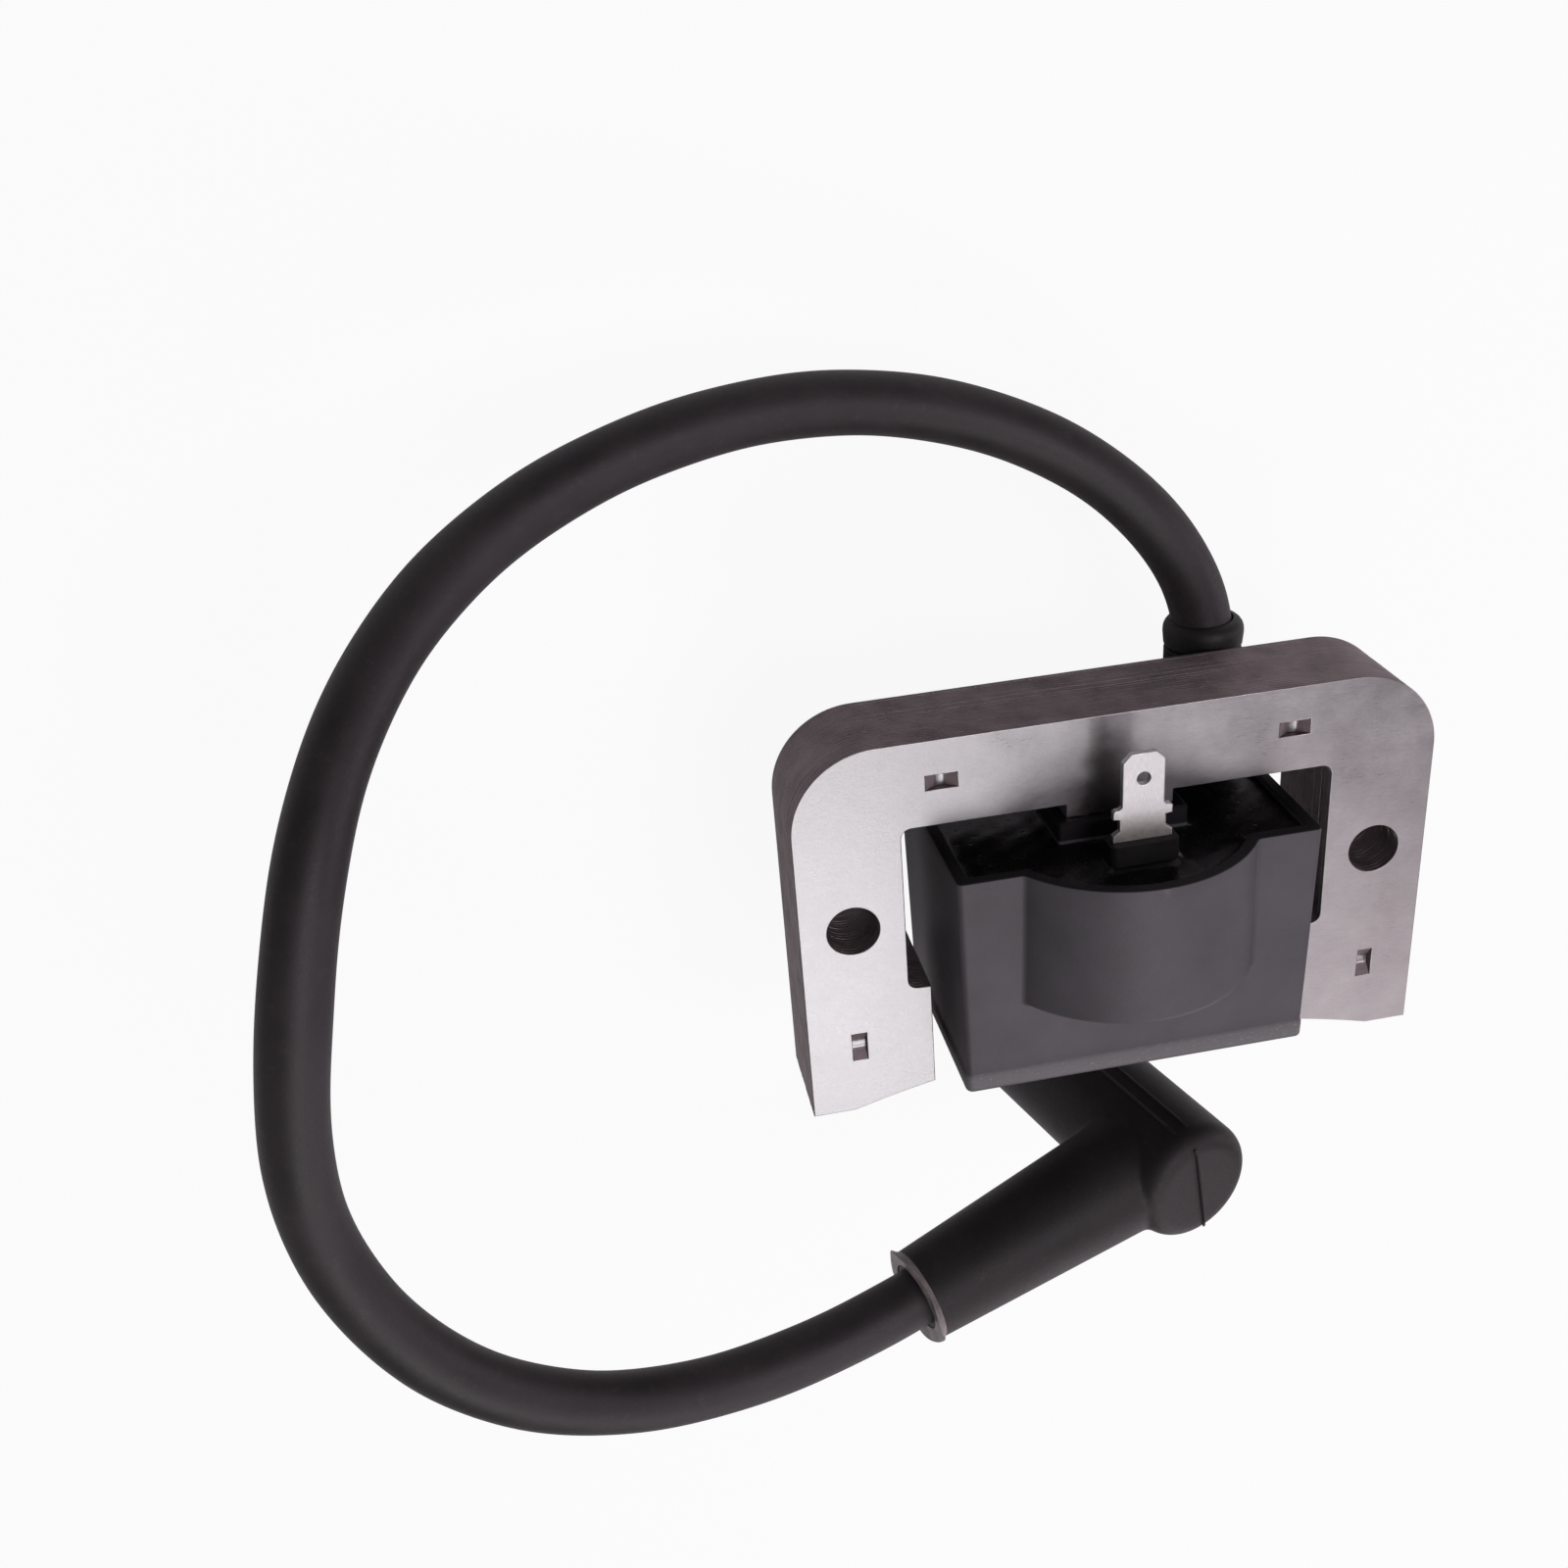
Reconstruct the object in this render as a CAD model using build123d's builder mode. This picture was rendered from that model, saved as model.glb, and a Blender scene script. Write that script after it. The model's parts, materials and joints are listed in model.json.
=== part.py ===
from build123d import *
import os

os.makedirs("parts", exist_ok=True)

# Flywheel ignition coil of a small engine: a laminated E-core, a potted coil housing on its
# centre leg, and a high-tension lead that ends in a right-angle spark plug boot.
#
# Frame, in millimetres: the origin is midway between the two fixing holes, on the rear face
# of the core, which seats on the engine. +X runs along the line of the holes, +Y away from
# the flywheel, and +Z out of the front face.

# ---- driving dimensions ----

# laminated core
CORE_THICK = 12.7
CORE_HALF_WIDTH = 38.1
CORE_TOP_Y = 22.8
CORE_CORNER_R = 10.0
SHEET_COUNT = 22
FIXING_SPACING = 63.5
FIXING_HOLE_R = 3.1
WINDOW_HALF_WIDTH = 25.6
WINDOW_TOP_Y = 12.2
WINDOW_CORNER_R = 1.2
SHOE_SHOULDER_Y = -9.2
SHOE_INNER_X = 22.9
POLE_TIP_Y = -25.4
CENTRE_LEG_WIDTH = 12.7
FLYWHEEL_R = 120.0
FLYWHEEL_CENTRE_Y = -140.8

# stamped interlocks that hold the sheets together
DENT_LENGTH = 3.7
DENT_WIDTH = 1.8
DENT_DEPTH = 0.45
TOP_DENT_X = 20.7
TOP_DENT_Y = 17.6
SHOE_DENT_X = 31.9
SHOE_DENT_Y = -16.2

# coil housing
HOUSING_HALF_WIDTH = 21.2
HOUSING_DEPTH = 27.7
HOUSING_RIM_Y = 8.5
HOUSING_FLOOR_Y = -20.3
HOUSING_DRAFT = 1.2
HOUSING_WALL = 1.5
HOUSING_CORNER_R = 0.8
BULGE_R = 16.5
BULGE_OFFSET = 4.45
BULGE_END_Y = -9.0
SLEEVE_GAP = 0.15
SLEEVE_WALL = 1.2
SLEEVE_TOP_Y = 10.6
POTTING_TOP_Y = 7.9

# lead tower and lead
TOWER_X = 17.0
TOWER_Z = -5.5
TOWER_R = 4.7
TOWER_TOP_Y = 21.4
TOWER_FOOT_Y = 5.4
GROMMET_TOP_Y = 25.0
LEAD_R = 3.5
CONDUCTOR_R = 1.1
LEAD_CLEARANCE = 0.05
LEAD_ROOT_Y = 8.0
PIN_FOOT_Y = 4.8
PIN_TOP_Y = 14.0

# windings and their bobbins
PRIMARY_LOW_Y = -17.0
PRIMARY_HIGH_Y = 6.4
PRIMARY_WALL = 0.8
PRIMARY_WINDING = 1.3
SECONDARY_LOW_Y = -6.2
SECONDARY_HIGH_Y = 5.0
SECONDARY_TUBE_R = 13.4
SECONDARY_TUBE_WALL = 0.8
SECONDARY_FLANGE_R = 17.0
SECONDARY_WINDING_R = 16.2
SECONDARY_SLOTS = 5
RIB_THICK = 0.7

# kill terminal
TAB_Z = 19.5
TAB_WIDTH = 4.8
TAB_THICK = 0.8
TAB_TOP_Y = 21.2
TAB_SHOULDER_Y = 14.0
TAB_SHOULDER_WIDTH = 6.8
TAB_HOLE_Y = 18.1
TAB_HOLE_R = 0.75
TAB_FOOT_Y = 6.9
TAB_POST_TOP_Y = 10.6

# enamelled wire that joins the coils, the tab and the board
WIRE_R = 0.2

# spark plug boot
ELBOW = Vector(5.9, -40.2, 13.0)
TUBE_LENGTH = 37.0
TUBE_MOUTH_R = 5.6
TUBE_ELBOW_R = 7.6
BARREL_R = 8.1
BARREL_LENGTH = 33.0
CAP_LENGTH = 8.0
SOCKET_R = 5.2
SOCKET_DEPTH = 19.0
CLIP_DEPTH = 9.0
CLIP_R = 4.4
CLIP_WALL = 0.5
CLIP_RING_R = 3.35
BOOT_GAP = 0.08

# a cutting or joining shape runs this far past the face it meets
MARGIN = 1.0

# ---- derived values ----

MID_Z = CORE_THICK / 2
SHEET_THICK = CORE_THICK / SHEET_COUNT
LEG_HALF = CENTRE_LEG_WIDTH / 2
SLEEVE_INNER = LEG_HALF + SLEEVE_GAP
SLEEVE_OUTER = SLEEVE_INNER + SLEEVE_WALL
PRIMARY_INNER = SLEEVE_OUTER + 0.1
PRIMARY_TUBE = PRIMARY_INNER + PRIMARY_WALL
PRIMARY_OUTER = PRIMARY_TUBE + PRIMARY_WINDING

# the boot's two legs are square to each other
lead_dir = Vector(0.942, 0.160, -0.294).normalized()
socket_guess = Vector(-0.302, 0.022, -0.953)
socket_dir = (socket_guess - lead_dir * socket_guess.dot(lead_dir)).normalized()
BOOT_MOUTH = ELBOW - lead_dir * TUBE_LENGTH


def across(y):
    """A plane square to Y at height y, whose sketch has X to the right and Z upward."""
    return Plane(origin=(0, y, 0), x_dir=(1, 0, 0), z_dir=(0, -1, 0))


# ---- laminated core ----


def core_outline():
    """One lamination, seen from the front: crossbar, two legs with shoes, and centre leg."""
    with BuildSketch() as outline:
        with Locations((0, (CORE_TOP_Y + POLE_TIP_Y) / 2)):
            Rectangle(2 * CORE_HALF_WIDTH, CORE_TOP_Y - POLE_TIP_Y)
        top_corners = outline.vertices().group_by(Axis.Y)[-1]
        fillet(top_corners, CORE_CORNER_R)
        with BuildSketch(mode=Mode.SUBTRACT) as window:
            with Locations((0, (WINDOW_TOP_Y + SHOE_SHOULDER_Y) / 2)):
                Rectangle(2 * WINDOW_HALF_WIDTH, WINDOW_TOP_Y - SHOE_SHOULDER_Y)
            fillet(window.vertices(), WINDOW_CORNER_R)
            with Locations((0, (SHOE_SHOULDER_Y + POLE_TIP_Y) / 2)):
                Rectangle(2 * SHOE_INNER_X, SHOE_SHOULDER_Y - POLE_TIP_Y + 2 * MARGIN)
        leg_root_y = WINDOW_TOP_Y + MARGIN
        with Locations((0, (leg_root_y + POLE_TIP_Y) / 2)):
            Rectangle(CENTRE_LEG_WIDTH, leg_root_y - POLE_TIP_Y)
        with Locations((0, FLYWHEEL_CENTRE_Y)):
            Circle(FLYWHEEL_R, mode=Mode.SUBTRACT)
        with GridLocations(FIXING_SPACING, 0, 2, 1):
            Circle(FIXING_HOLE_R, mode=Mode.SUBTRACT)
    return outline.sketch


lamination = core_outline()

with BuildPart() as core_front_sheet:
    with BuildSketch(Plane.XY.offset(CORE_THICK - SHEET_THICK)):
        add(lamination)
    extrude(amount=SHEET_THICK)
    # two dents lie along the crossbar and two stand in the shoes
    for side in (-1, 1):
        dent_profile = [
            (-DENT_WIDTH / 2, CORE_THICK),
            (DENT_WIDTH / 2, CORE_THICK),
            (0, CORE_THICK - DENT_DEPTH),
        ]
        lying = Plane(
            origin=(side * TOP_DENT_X - DENT_LENGTH / 2, TOP_DENT_Y, 0),
            x_dir=(0, 1, 0),
            z_dir=(1, 0, 0),
        )
        standing = Plane(
            origin=(side * SHOE_DENT_X, SHOE_DENT_Y + DENT_LENGTH / 2, 0),
            x_dir=(1, 0, 0),
            z_dir=(0, -1, 0),
        )
        for dent_plane in (lying, standing):
            with BuildSketch(dent_plane):
                with BuildLine():
                    Polyline(*dent_profile, close=True)
                make_face()
            extrude(amount=DENT_LENGTH, mode=Mode.SUBTRACT)
core_front_sheet.part.label = "core_front_sheet"
export_step(core_front_sheet.part, "parts/core_front_sheet.step")

# the sheets between the outer two are bonded into one block by varnish and interlocks
with BuildPart() as core_stack:
    with BuildSketch(Plane.XY.offset(SHEET_THICK)):
        add(lamination)
    extrude(amount=CORE_THICK - 2 * SHEET_THICK)
core_stack.part.label = "core_stack"
export_step(core_stack.part, "parts/core_stack.step")

with BuildPart() as core_rear_sheet:
    with BuildSketch(Plane.XY):
        add(lamination)
    extrude(amount=SHEET_THICK)
core_rear_sheet.part.label = "core_rear_sheet"
export_step(core_rear_sheet.part, "parts/core_rear_sheet.step")

# ---- coil housing: a tub open toward the crossbar, with a sleeve for the centre leg ----


def housing_block(half_width, half_depth, bulge_r, top_y, bottom_y, bulge_bottom_y):
    """The tapered body with its front and rear bulges, as a solid block."""
    with BuildPart() as block:
        with BuildSketch(across(top_y)):
            with Locations((0, MID_Z)):
                Rectangle(2 * half_width, 2 * half_depth)
        extrude(amount=top_y - bottom_y, taper=HOUSING_DRAFT)
        with BuildSketch(across(top_y)):
            with Locations((0, MID_Z + BULGE_OFFSET), (0, MID_Z - BULGE_OFFSET)):
                Circle(bulge_r)
        extrude(amount=top_y - bulge_bottom_y)
    return block.part


housing_outside = housing_block(
    HOUSING_HALF_WIDTH,
    HOUSING_DEPTH / 2,
    BULGE_R,
    HOUSING_RIM_Y,
    HOUSING_FLOOR_Y,
    BULGE_END_Y,
)
housing_cavity = housing_block(
    HOUSING_HALF_WIDTH - HOUSING_WALL,
    HOUSING_DEPTH / 2 - HOUSING_WALL,
    BULGE_R - HOUSING_WALL,
    HOUSING_RIM_Y,
    HOUSING_FLOOR_Y + HOUSING_WALL,
    BULGE_END_Y + HOUSING_WALL,
)

with BuildPart() as coil_housing:
    add(housing_outside)
    floor_edges = coil_housing.edges().group_by(Axis.Y)[0]
    fillet(floor_edges, HOUSING_CORNER_R)
    add(housing_cavity, mode=Mode.SUBTRACT)
    # sleeve round the centre leg, from the floor to just short of the crossbar
    with BuildSketch(across(SLEEVE_TOP_Y)):
        with Locations((0, MID_Z)):
            Rectangle(2 * SLEEVE_OUTER, 2 * SLEEVE_OUTER)
    extrude(amount=SLEEVE_TOP_Y - HOUSING_FLOOR_Y)
    # tower that holds the lead behind the crossbar
    with BuildSketch(across(TOWER_TOP_Y)):
        with Locations((TOWER_X, TOWER_Z)):
            Circle(TOWER_R)
    extrude(amount=TOWER_TOP_Y - TOWER_FOOT_Y)
    with BuildSketch(across(SLEEVE_TOP_Y)):
        with Locations((0, MID_Z)):
            Rectangle(2 * SLEEVE_INNER, 2 * SLEEVE_INNER)
    extrude(amount=SLEEVE_TOP_Y - HOUSING_FLOOR_Y, mode=Mode.SUBTRACT)
    with BuildSketch(across(TOWER_TOP_Y)):
        with Locations((TOWER_X, TOWER_Z)):
            Circle(LEAD_R + LEAD_CLEARANCE)
    extrude(amount=TOWER_TOP_Y - LEAD_ROOT_Y, mode=Mode.SUBTRACT)
    with BuildSketch(across(LEAD_ROOT_Y)):
        with Locations((TOWER_X, TOWER_Z)):
            Circle(CONDUCTOR_R)
    extrude(amount=LEAD_ROOT_Y - PIN_FOOT_Y, mode=Mode.SUBTRACT)
coil_housing.part.label = "coil_housing"
export_step(coil_housing.part, "parts/coil_housing.step")

# strips that lie in the gap between the centre leg and the sleeve
STRIP_THICK = 0.135

# thin spring wedge that locks the housing on the centre leg
WEDGE_LENGTH = 13.8
WEDGE_WIDTH = 8.7
WEDGE_RECESS = 0.2
wedge_top_y = HOUSING_FLOOR_Y + WEDGE_RECESS + WEDGE_LENGTH
with BuildPart() as leg_wedge:
    with BuildSketch(across(wedge_top_y)):
        with Locations((0, MID_Z - LEG_HALF - SLEEVE_GAP / 2)):
            Rectangle(WEDGE_WIDTH, STRIP_THICK)
    extrude(amount=WEDGE_LENGTH)
leg_wedge.part.label = "leg_wedge"
export_step(leg_wedge.part, "parts/leg_wedge.step")

# ---- primary coil: a square bobbin on the sleeve, with its winding ----


def square_ring(outer, inner, high_y, low_y, corner_r):
    """A square tube about the centre leg between two heights."""
    with BuildPart() as ring:
        with BuildSketch(across(high_y)) as ring_sketch:
            with Locations((0, MID_Z)):
                Rectangle(2 * outer, 2 * outer)
            if corner_r > 0:
                fillet(ring_sketch.vertices(), corner_r)
            with Locations((0, MID_Z)):
                Rectangle(2 * inner, 2 * inner, mode=Mode.SUBTRACT)
        extrude(amount=high_y - low_y)
    return ring.part


PRIMARY_FLANGE = 0.9
FLANGE_CORNER_R = 1.0
WINDING_CORNER_R = 2.5
WINDING_INSET = 0.1
POST_WIDTH = 8.0
POST_DEPTH = 3.2
POST_CORNER_R = 0.8
WIRE_CLEARANCE = 0.05
with BuildPart() as primary_bobbin:
    add(square_ring(PRIMARY_TUBE, PRIMARY_INNER, PRIMARY_HIGH_Y, PRIMARY_LOW_Y, 0))
    for flange_top in (PRIMARY_HIGH_Y, PRIMARY_LOW_Y + PRIMARY_FLANGE):
        flange_low = flange_top - PRIMARY_FLANGE
        add(square_ring(PRIMARY_OUTER, PRIMARY_INNER, flange_top, flange_low, FLANGE_CORNER_R))
    # arm and post that carry the kill terminal at the front of the tub
    with BuildSketch(across(PRIMARY_HIGH_Y)):
        with Locations((0, (MID_Z + PRIMARY_OUTER + TAB_Z) / 2)):
            Rectangle(POST_WIDTH, TAB_Z - MID_Z - PRIMARY_OUTER + POST_DEPTH)
    extrude(amount=PRIMARY_FLANGE)
    with BuildSketch(across(TAB_POST_TOP_Y)) as post_sketch:
        with Locations((0, TAB_Z)):
            Rectangle(POST_WIDTH, POST_DEPTH)
        fillet(post_sketch.vertices(), POST_CORNER_R)
    extrude(amount=TAB_POST_TOP_Y - PRIMARY_HIGH_Y + PRIMARY_FLANGE)
    with BuildSketch(across(TAB_POST_TOP_Y)):
        with Locations((0, TAB_Z)):
            Rectangle(TAB_SHOULDER_WIDTH, TAB_THICK)
    extrude(amount=TAB_POST_TOP_Y - TAB_FOOT_Y, mode=Mode.SUBTRACT)
    with BuildSketch(across(TAB_FOOT_Y)):
        with Locations((0, TAB_Z)):
            Circle(WIRE_R + WIRE_CLEARANCE)
    extrude(amount=TAB_FOOT_Y - SECONDARY_HIGH_Y, mode=Mode.SUBTRACT)
primary_bobbin.part.label = "primary_bobbin"
export_step(primary_bobbin.part, "parts/primary_bobbin.step")

with BuildPart() as primary_winding:
    add(
        square_ring(
            PRIMARY_OUTER - WINDING_INSET,
            PRIMARY_TUBE,
            PRIMARY_HIGH_Y - PRIMARY_FLANGE,
            PRIMARY_LOW_Y + PRIMARY_FLANGE,
            WINDING_CORNER_R,
        )
    )
primary_winding.part.label = "primary_winding"
export_step(primary_winding.part, "parts/primary_winding.step")

# ---- secondary coil: a round ribbed bobbin over the primary ----

SLOT_PITCH = (SECONDARY_HIGH_Y - SECONDARY_LOW_Y - RIB_THICK) / SECONDARY_SLOTS
with BuildPart() as secondary_bobbin:
    with BuildSketch(across(SECONDARY_HIGH_Y)):
        with Locations((0, MID_Z)):
            Circle(SECONDARY_TUBE_R + SECONDARY_TUBE_WALL)
    extrude(amount=SECONDARY_HIGH_Y - SECONDARY_LOW_Y)
    for slot in range(SECONDARY_SLOTS + 1):
        with BuildSketch(across(SECONDARY_HIGH_Y - slot * SLOT_PITCH)):
            with Locations((0, MID_Z)):
                Circle(SECONDARY_FLANGE_R)
        extrude(amount=RIB_THICK)
    with BuildSketch(across(SECONDARY_HIGH_Y)):
        with Locations((0, MID_Z)):
            Circle(SECONDARY_TUBE_R)
    extrude(amount=SECONDARY_HIGH_Y - SECONDARY_LOW_Y, mode=Mode.SUBTRACT)
secondary_bobbin.part.label = "secondary_bobbin"
export_step(secondary_bobbin.part, "parts/secondary_bobbin.step")

winding_rings = []
for slot in range(SECONDARY_SLOTS):
    with BuildPart() as winding_ring:
        with BuildSketch(across(SECONDARY_HIGH_Y - RIB_THICK - slot * SLOT_PITCH)):
            with Locations((0, MID_Z)):
                Circle(SECONDARY_WINDING_R)
                Circle(SECONDARY_TUBE_R + SECONDARY_TUBE_WALL, mode=Mode.SUBTRACT)
        extrude(amount=SLOT_PITCH - RIB_THICK)
    winding_rings.append(winding_ring.part.solid())
secondary_winding = Compound(label="secondary_winding", children=winding_rings)
export_step(secondary_winding, "parts/secondary_winding.step")

# ---- switching circuit, in the foot of the tub in front of the primary ----

BOARD_HALF_WIDTH = 17.5
BOARD_TOP_Y = -9.6
BOARD_LOW_Y = -17.2
BOARD_CLEARANCE = 0.3
BOARD_Z = MID_Z + PRIMARY_OUTER + BOARD_CLEARANCE
BOARD_THICK = 0.8
COMPONENT_Y = (BOARD_TOP_Y + BOARD_LOW_Y) / 2
COMPONENT_HEIGHT = 6.0
COMPONENT_CORNER_R = 0.3


def board_block(x, width, depth):
    """A component soldered on the rear of the circuit board."""
    with BuildPart() as block:
        with BuildSketch(Plane.XY.offset(BOARD_Z - depth)):
            with Locations((x, COMPONENT_Y)):
                Rectangle(width, COMPONENT_HEIGHT)
        extrude(amount=depth)
        fillet(block.edges().filter_by(Axis.Z), COMPONENT_CORNER_R)
    return block.part


with BuildPart() as circuit_board:
    with BuildSketch(Plane.XY.offset(BOARD_Z)):
        with Locations((0, COMPONENT_Y)):
            Rectangle(2 * BOARD_HALF_WIDTH, BOARD_TOP_Y - BOARD_LOW_Y)
    extrude(amount=BOARD_THICK)
circuit_board.part.label = "circuit_board"
export_step(circuit_board.part, "parts/circuit_board.step")

switching_transistor = board_block(x=13.6, width=5.4, depth=2.6)
switching_transistor.label = "switching_transistor"
export_step(switching_transistor, "parts/switching_transistor.step")

trigger_capacitor = board_block(x=-12.4, width=3.0, depth=3.4)
trigger_capacitor.label = "trigger_capacitor"
export_step(trigger_capacitor, "parts/trigger_capacitor.step")

RESISTOR_R = 0.75
RESISTOR_LENGTH = 2.6
RESISTOR_LEFT_X = -17.0
RESISTOR_PITCH = 2.0
resistors = []
for place in (-1, 0, 1):
    with BuildPart() as resistor:
        with BuildSketch(Plane.YZ.offset(RESISTOR_LEFT_X)):
            with Locations((COMPONENT_Y + place * RESISTOR_PITCH, BOARD_Z - RESISTOR_R)):
                Circle(RESISTOR_R)
        extrude(amount=RESISTOR_LENGTH)
    resistors.append(resistor.part.solid())
board_resistors = Compound(label="board_resistors", children=resistors)
export_step(board_resistors, "parts/board_resistors.step")

# ---- kill terminal and the internal connections ----

TAB_TIP_CHAMFER = 1.0
with BuildPart() as kill_tab:
    with BuildSketch(Plane.XY.offset(TAB_Z - TAB_THICK / 2)) as tab_sketch:
        with Locations((0, (TAB_TOP_Y + TAB_SHOULDER_Y) / 2)):
            Rectangle(TAB_WIDTH, TAB_TOP_Y - TAB_SHOULDER_Y)
        chamfer(tab_sketch.vertices().group_by(Axis.Y)[-1], TAB_TIP_CHAMFER)
        with Locations((0, (TAB_SHOULDER_Y + TAB_FOOT_Y) / 2)):
            Rectangle(TAB_SHOULDER_WIDTH, TAB_SHOULDER_Y - TAB_FOOT_Y)
        with Locations((0, TAB_HOLE_Y)):
            Circle(TAB_HOLE_R, mode=Mode.SUBTRACT)
    extrude(amount=TAB_THICK)
kill_tab.part.label = "kill_tab"
export_step(kill_tab.part, "parts/kill_tab.step")


def wire_run(points):
    """An enamelled wire of round section with mitred corners through the given points."""
    with BuildPart() as run:
        with BuildLine() as path:
            Polyline(*points)
        with BuildSketch(Plane(origin=path.line @ 0, z_dir=path.line % 0)):
            Circle(WIRE_R)
        sweep(transition=Transition.RIGHT)
    return run.part


# the kill wire leaves the tab's foot, passes over the front of the secondary and drops
# behind the board's top edge
WIRE_STAND_OFF = 0.9
WIRE_FRONT_Z = MID_Z + SECONDARY_FLANGE_R + WIRE_STAND_OFF
WIRE_TURN_Y = (SECONDARY_LOW_Y + BULGE_END_Y + HOUSING_WALL) / 2
WIRE_ARM_Y = (SECONDARY_HIGH_Y + PRIMARY_HIGH_Y - PRIMARY_FLANGE) / 2
kill_wire = wire_run(
    [
        (0, TAB_FOOT_Y, TAB_Z),
        (0, WIRE_ARM_Y, TAB_Z),
        (0, WIRE_ARM_Y, WIRE_FRONT_Z),
        (0, WIRE_TURN_Y, WIRE_FRONT_Z),
        (0, WIRE_TURN_Y, BOARD_Z + BOARD_THICK / 2),
        (0, BOARD_TOP_Y, BOARD_Z + BOARD_THICK / 2),
    ]
)
kill_wire.label = "kill_wire"
export_step(kill_wire, "parts/kill_wire.step")

# the high-tension wire leaves the top slot of the secondary, passes its flange and ends
# at the foot of the pin
pin_away = Vector(TOWER_X, 0, TOWER_Z - MID_Z).normalized()


def beside_secondary(radius, y):
    """A point on the tower's side of the secondary, at a radius from the leg's axis."""
    return Vector(0, y, MID_Z) + pin_away * radius


HT_START_Y = SECONDARY_HIGH_Y - RIB_THICK - 1.0
HT_END_Y = PIN_FOOT_Y + 0.3
HT_OUTER_R = SECONDARY_FLANGE_R + 0.5
ht_wire = wire_run(
    [
        beside_secondary(SECONDARY_WINDING_R, HT_START_Y),
        beside_secondary(HT_OUTER_R, HT_START_Y),
        beside_secondary(HT_OUTER_R, HT_END_Y),
        Vector(TOWER_X, HT_END_Y, TOWER_Z) - pin_away * CONDUCTOR_R,
    ]
)
ht_wire.label = "ht_wire"
export_step(ht_wire, "parts/ht_wire.step")

PIN_TIP_CHAMFER = 0.7
with BuildPart() as ht_pin:
    with BuildSketch(across(PIN_TOP_Y)):
        with Locations((TOWER_X, TOWER_Z)):
            Circle(CONDUCTOR_R)
    extrude(amount=PIN_TOP_Y - PIN_FOOT_Y)
    chamfer(ht_pin.edges().group_by(Axis.Y)[-1], PIN_TIP_CHAMFER)
ht_pin.part.label = "ht_pin"
export_step(ht_pin.part, "parts/ht_pin.step")

# grounding strip in the gap between the sleeve and the right side of the centre leg
STRAP_WIDTH = 6.0
STRAP_LENGTH = 16.0
STRAP_RECESS = 0.4
with BuildPart() as ground_strap:
    with BuildSketch(across(SLEEVE_TOP_Y - STRAP_RECESS)):
        with Locations((LEG_HALF + SLEEVE_GAP / 2, MID_Z)):
            Rectangle(STRIP_THICK, STRAP_WIDTH)
    extrude(amount=STRAP_LENGTH)
ground_strap.part.label = "ground_strap"
export_step(ground_strap.part, "parts/ground_strap.step")

# ---- potting compound: everything in the tub that isn't a component ----

embedded_pieces = [
    primary_bobbin.part,
    primary_winding.part,
    secondary_bobbin.part,
    secondary_winding,
    circuit_board.part,
    switching_transistor,
    trigger_capacitor,
    board_resistors,
    kill_tab.part,
    ht_pin.part,
    kill_wire,
    ht_wire,
]

with BuildPart() as potting_compound:
    add(housing_cavity)
    with BuildSketch(across(HOUSING_RIM_Y)):
        with Locations((0, MID_Z)):
            Rectangle(4 * HOUSING_HALF_WIDTH, 4 * HOUSING_HALF_WIDTH)
    extrude(amount=HOUSING_RIM_Y - POTTING_TOP_Y, mode=Mode.SUBTRACT)
    with BuildSketch(across(HOUSING_RIM_Y)):
        with Locations((0, MID_Z)):
            Rectangle(2 * SLEEVE_OUTER, 2 * SLEEVE_OUTER)
    extrude(amount=HOUSING_RIM_Y - HOUSING_FLOOR_Y, mode=Mode.SUBTRACT)
    with BuildSketch(across(HOUSING_RIM_Y)):
        with Locations((TOWER_X, TOWER_Z)):
            Circle(TOWER_R)
    extrude(amount=HOUSING_RIM_Y - TOWER_FOOT_Y, mode=Mode.SUBTRACT)
    for embedded in embedded_pieces:
        add(embedded, mode=Mode.SUBTRACT)
potting_compound.part.label = "potting_compound"
export_step(potting_compound.part, "parts/potting_compound.step")

# ---- high-tension lead ----

# the centreline rises out of the tower, loops to the left and comes back down to the boot
LEAD_POINTS = [
    (TOWER_X, TOWER_TOP_Y, TOWER_Z),
    (9.6, 38.6, -5.9),
    (-16.2, 54.3, -6.1),
    (-43.6, 56.9, 0.7),
    (-67.7, 49.7, 10.7),
    (-82.4, 36.2, 26.8),
    (-89.4, 15.7, 37.3),
    (-92.1, -8.3, 37.9),
    (-83.8, -29.5, 37.2),
    (-68.6, -43.3, 33.6),
    (-46.8, -49.4, 27.3),
    BOOT_MOUTH,
]
lead_curve = Spline(*LEAD_POINTS, tangents=[(0, 1, 0), lead_dir], tangent_scalars=[1, 1])

# where the lead bends, as a share of the curve's length
ROOT_BEND = 0.043
MID_BEND = 0.45
END_BEND = 0.82
# two lengths of lead stop this far from the bend between them, so that it can close
BEND_SETBACK = 0.75
# the lead stops short of the elbow, and the contact spike enters its conductor
LEAD_STOP = 9.0
SPIKE_REACH = 8.0

setback = BEND_SETBACK / lead_curve.length
lead_tip = ELBOW - lead_dir * LEAD_STOP
spike_tip = lead_tip - lead_dir * SPIKE_REACH
tower_root = Vector(TOWER_X, LEAD_ROOT_Y, TOWER_Z)
pin_top = Vector(TOWER_X, PIN_TOP_Y, TOWER_Z)


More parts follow.
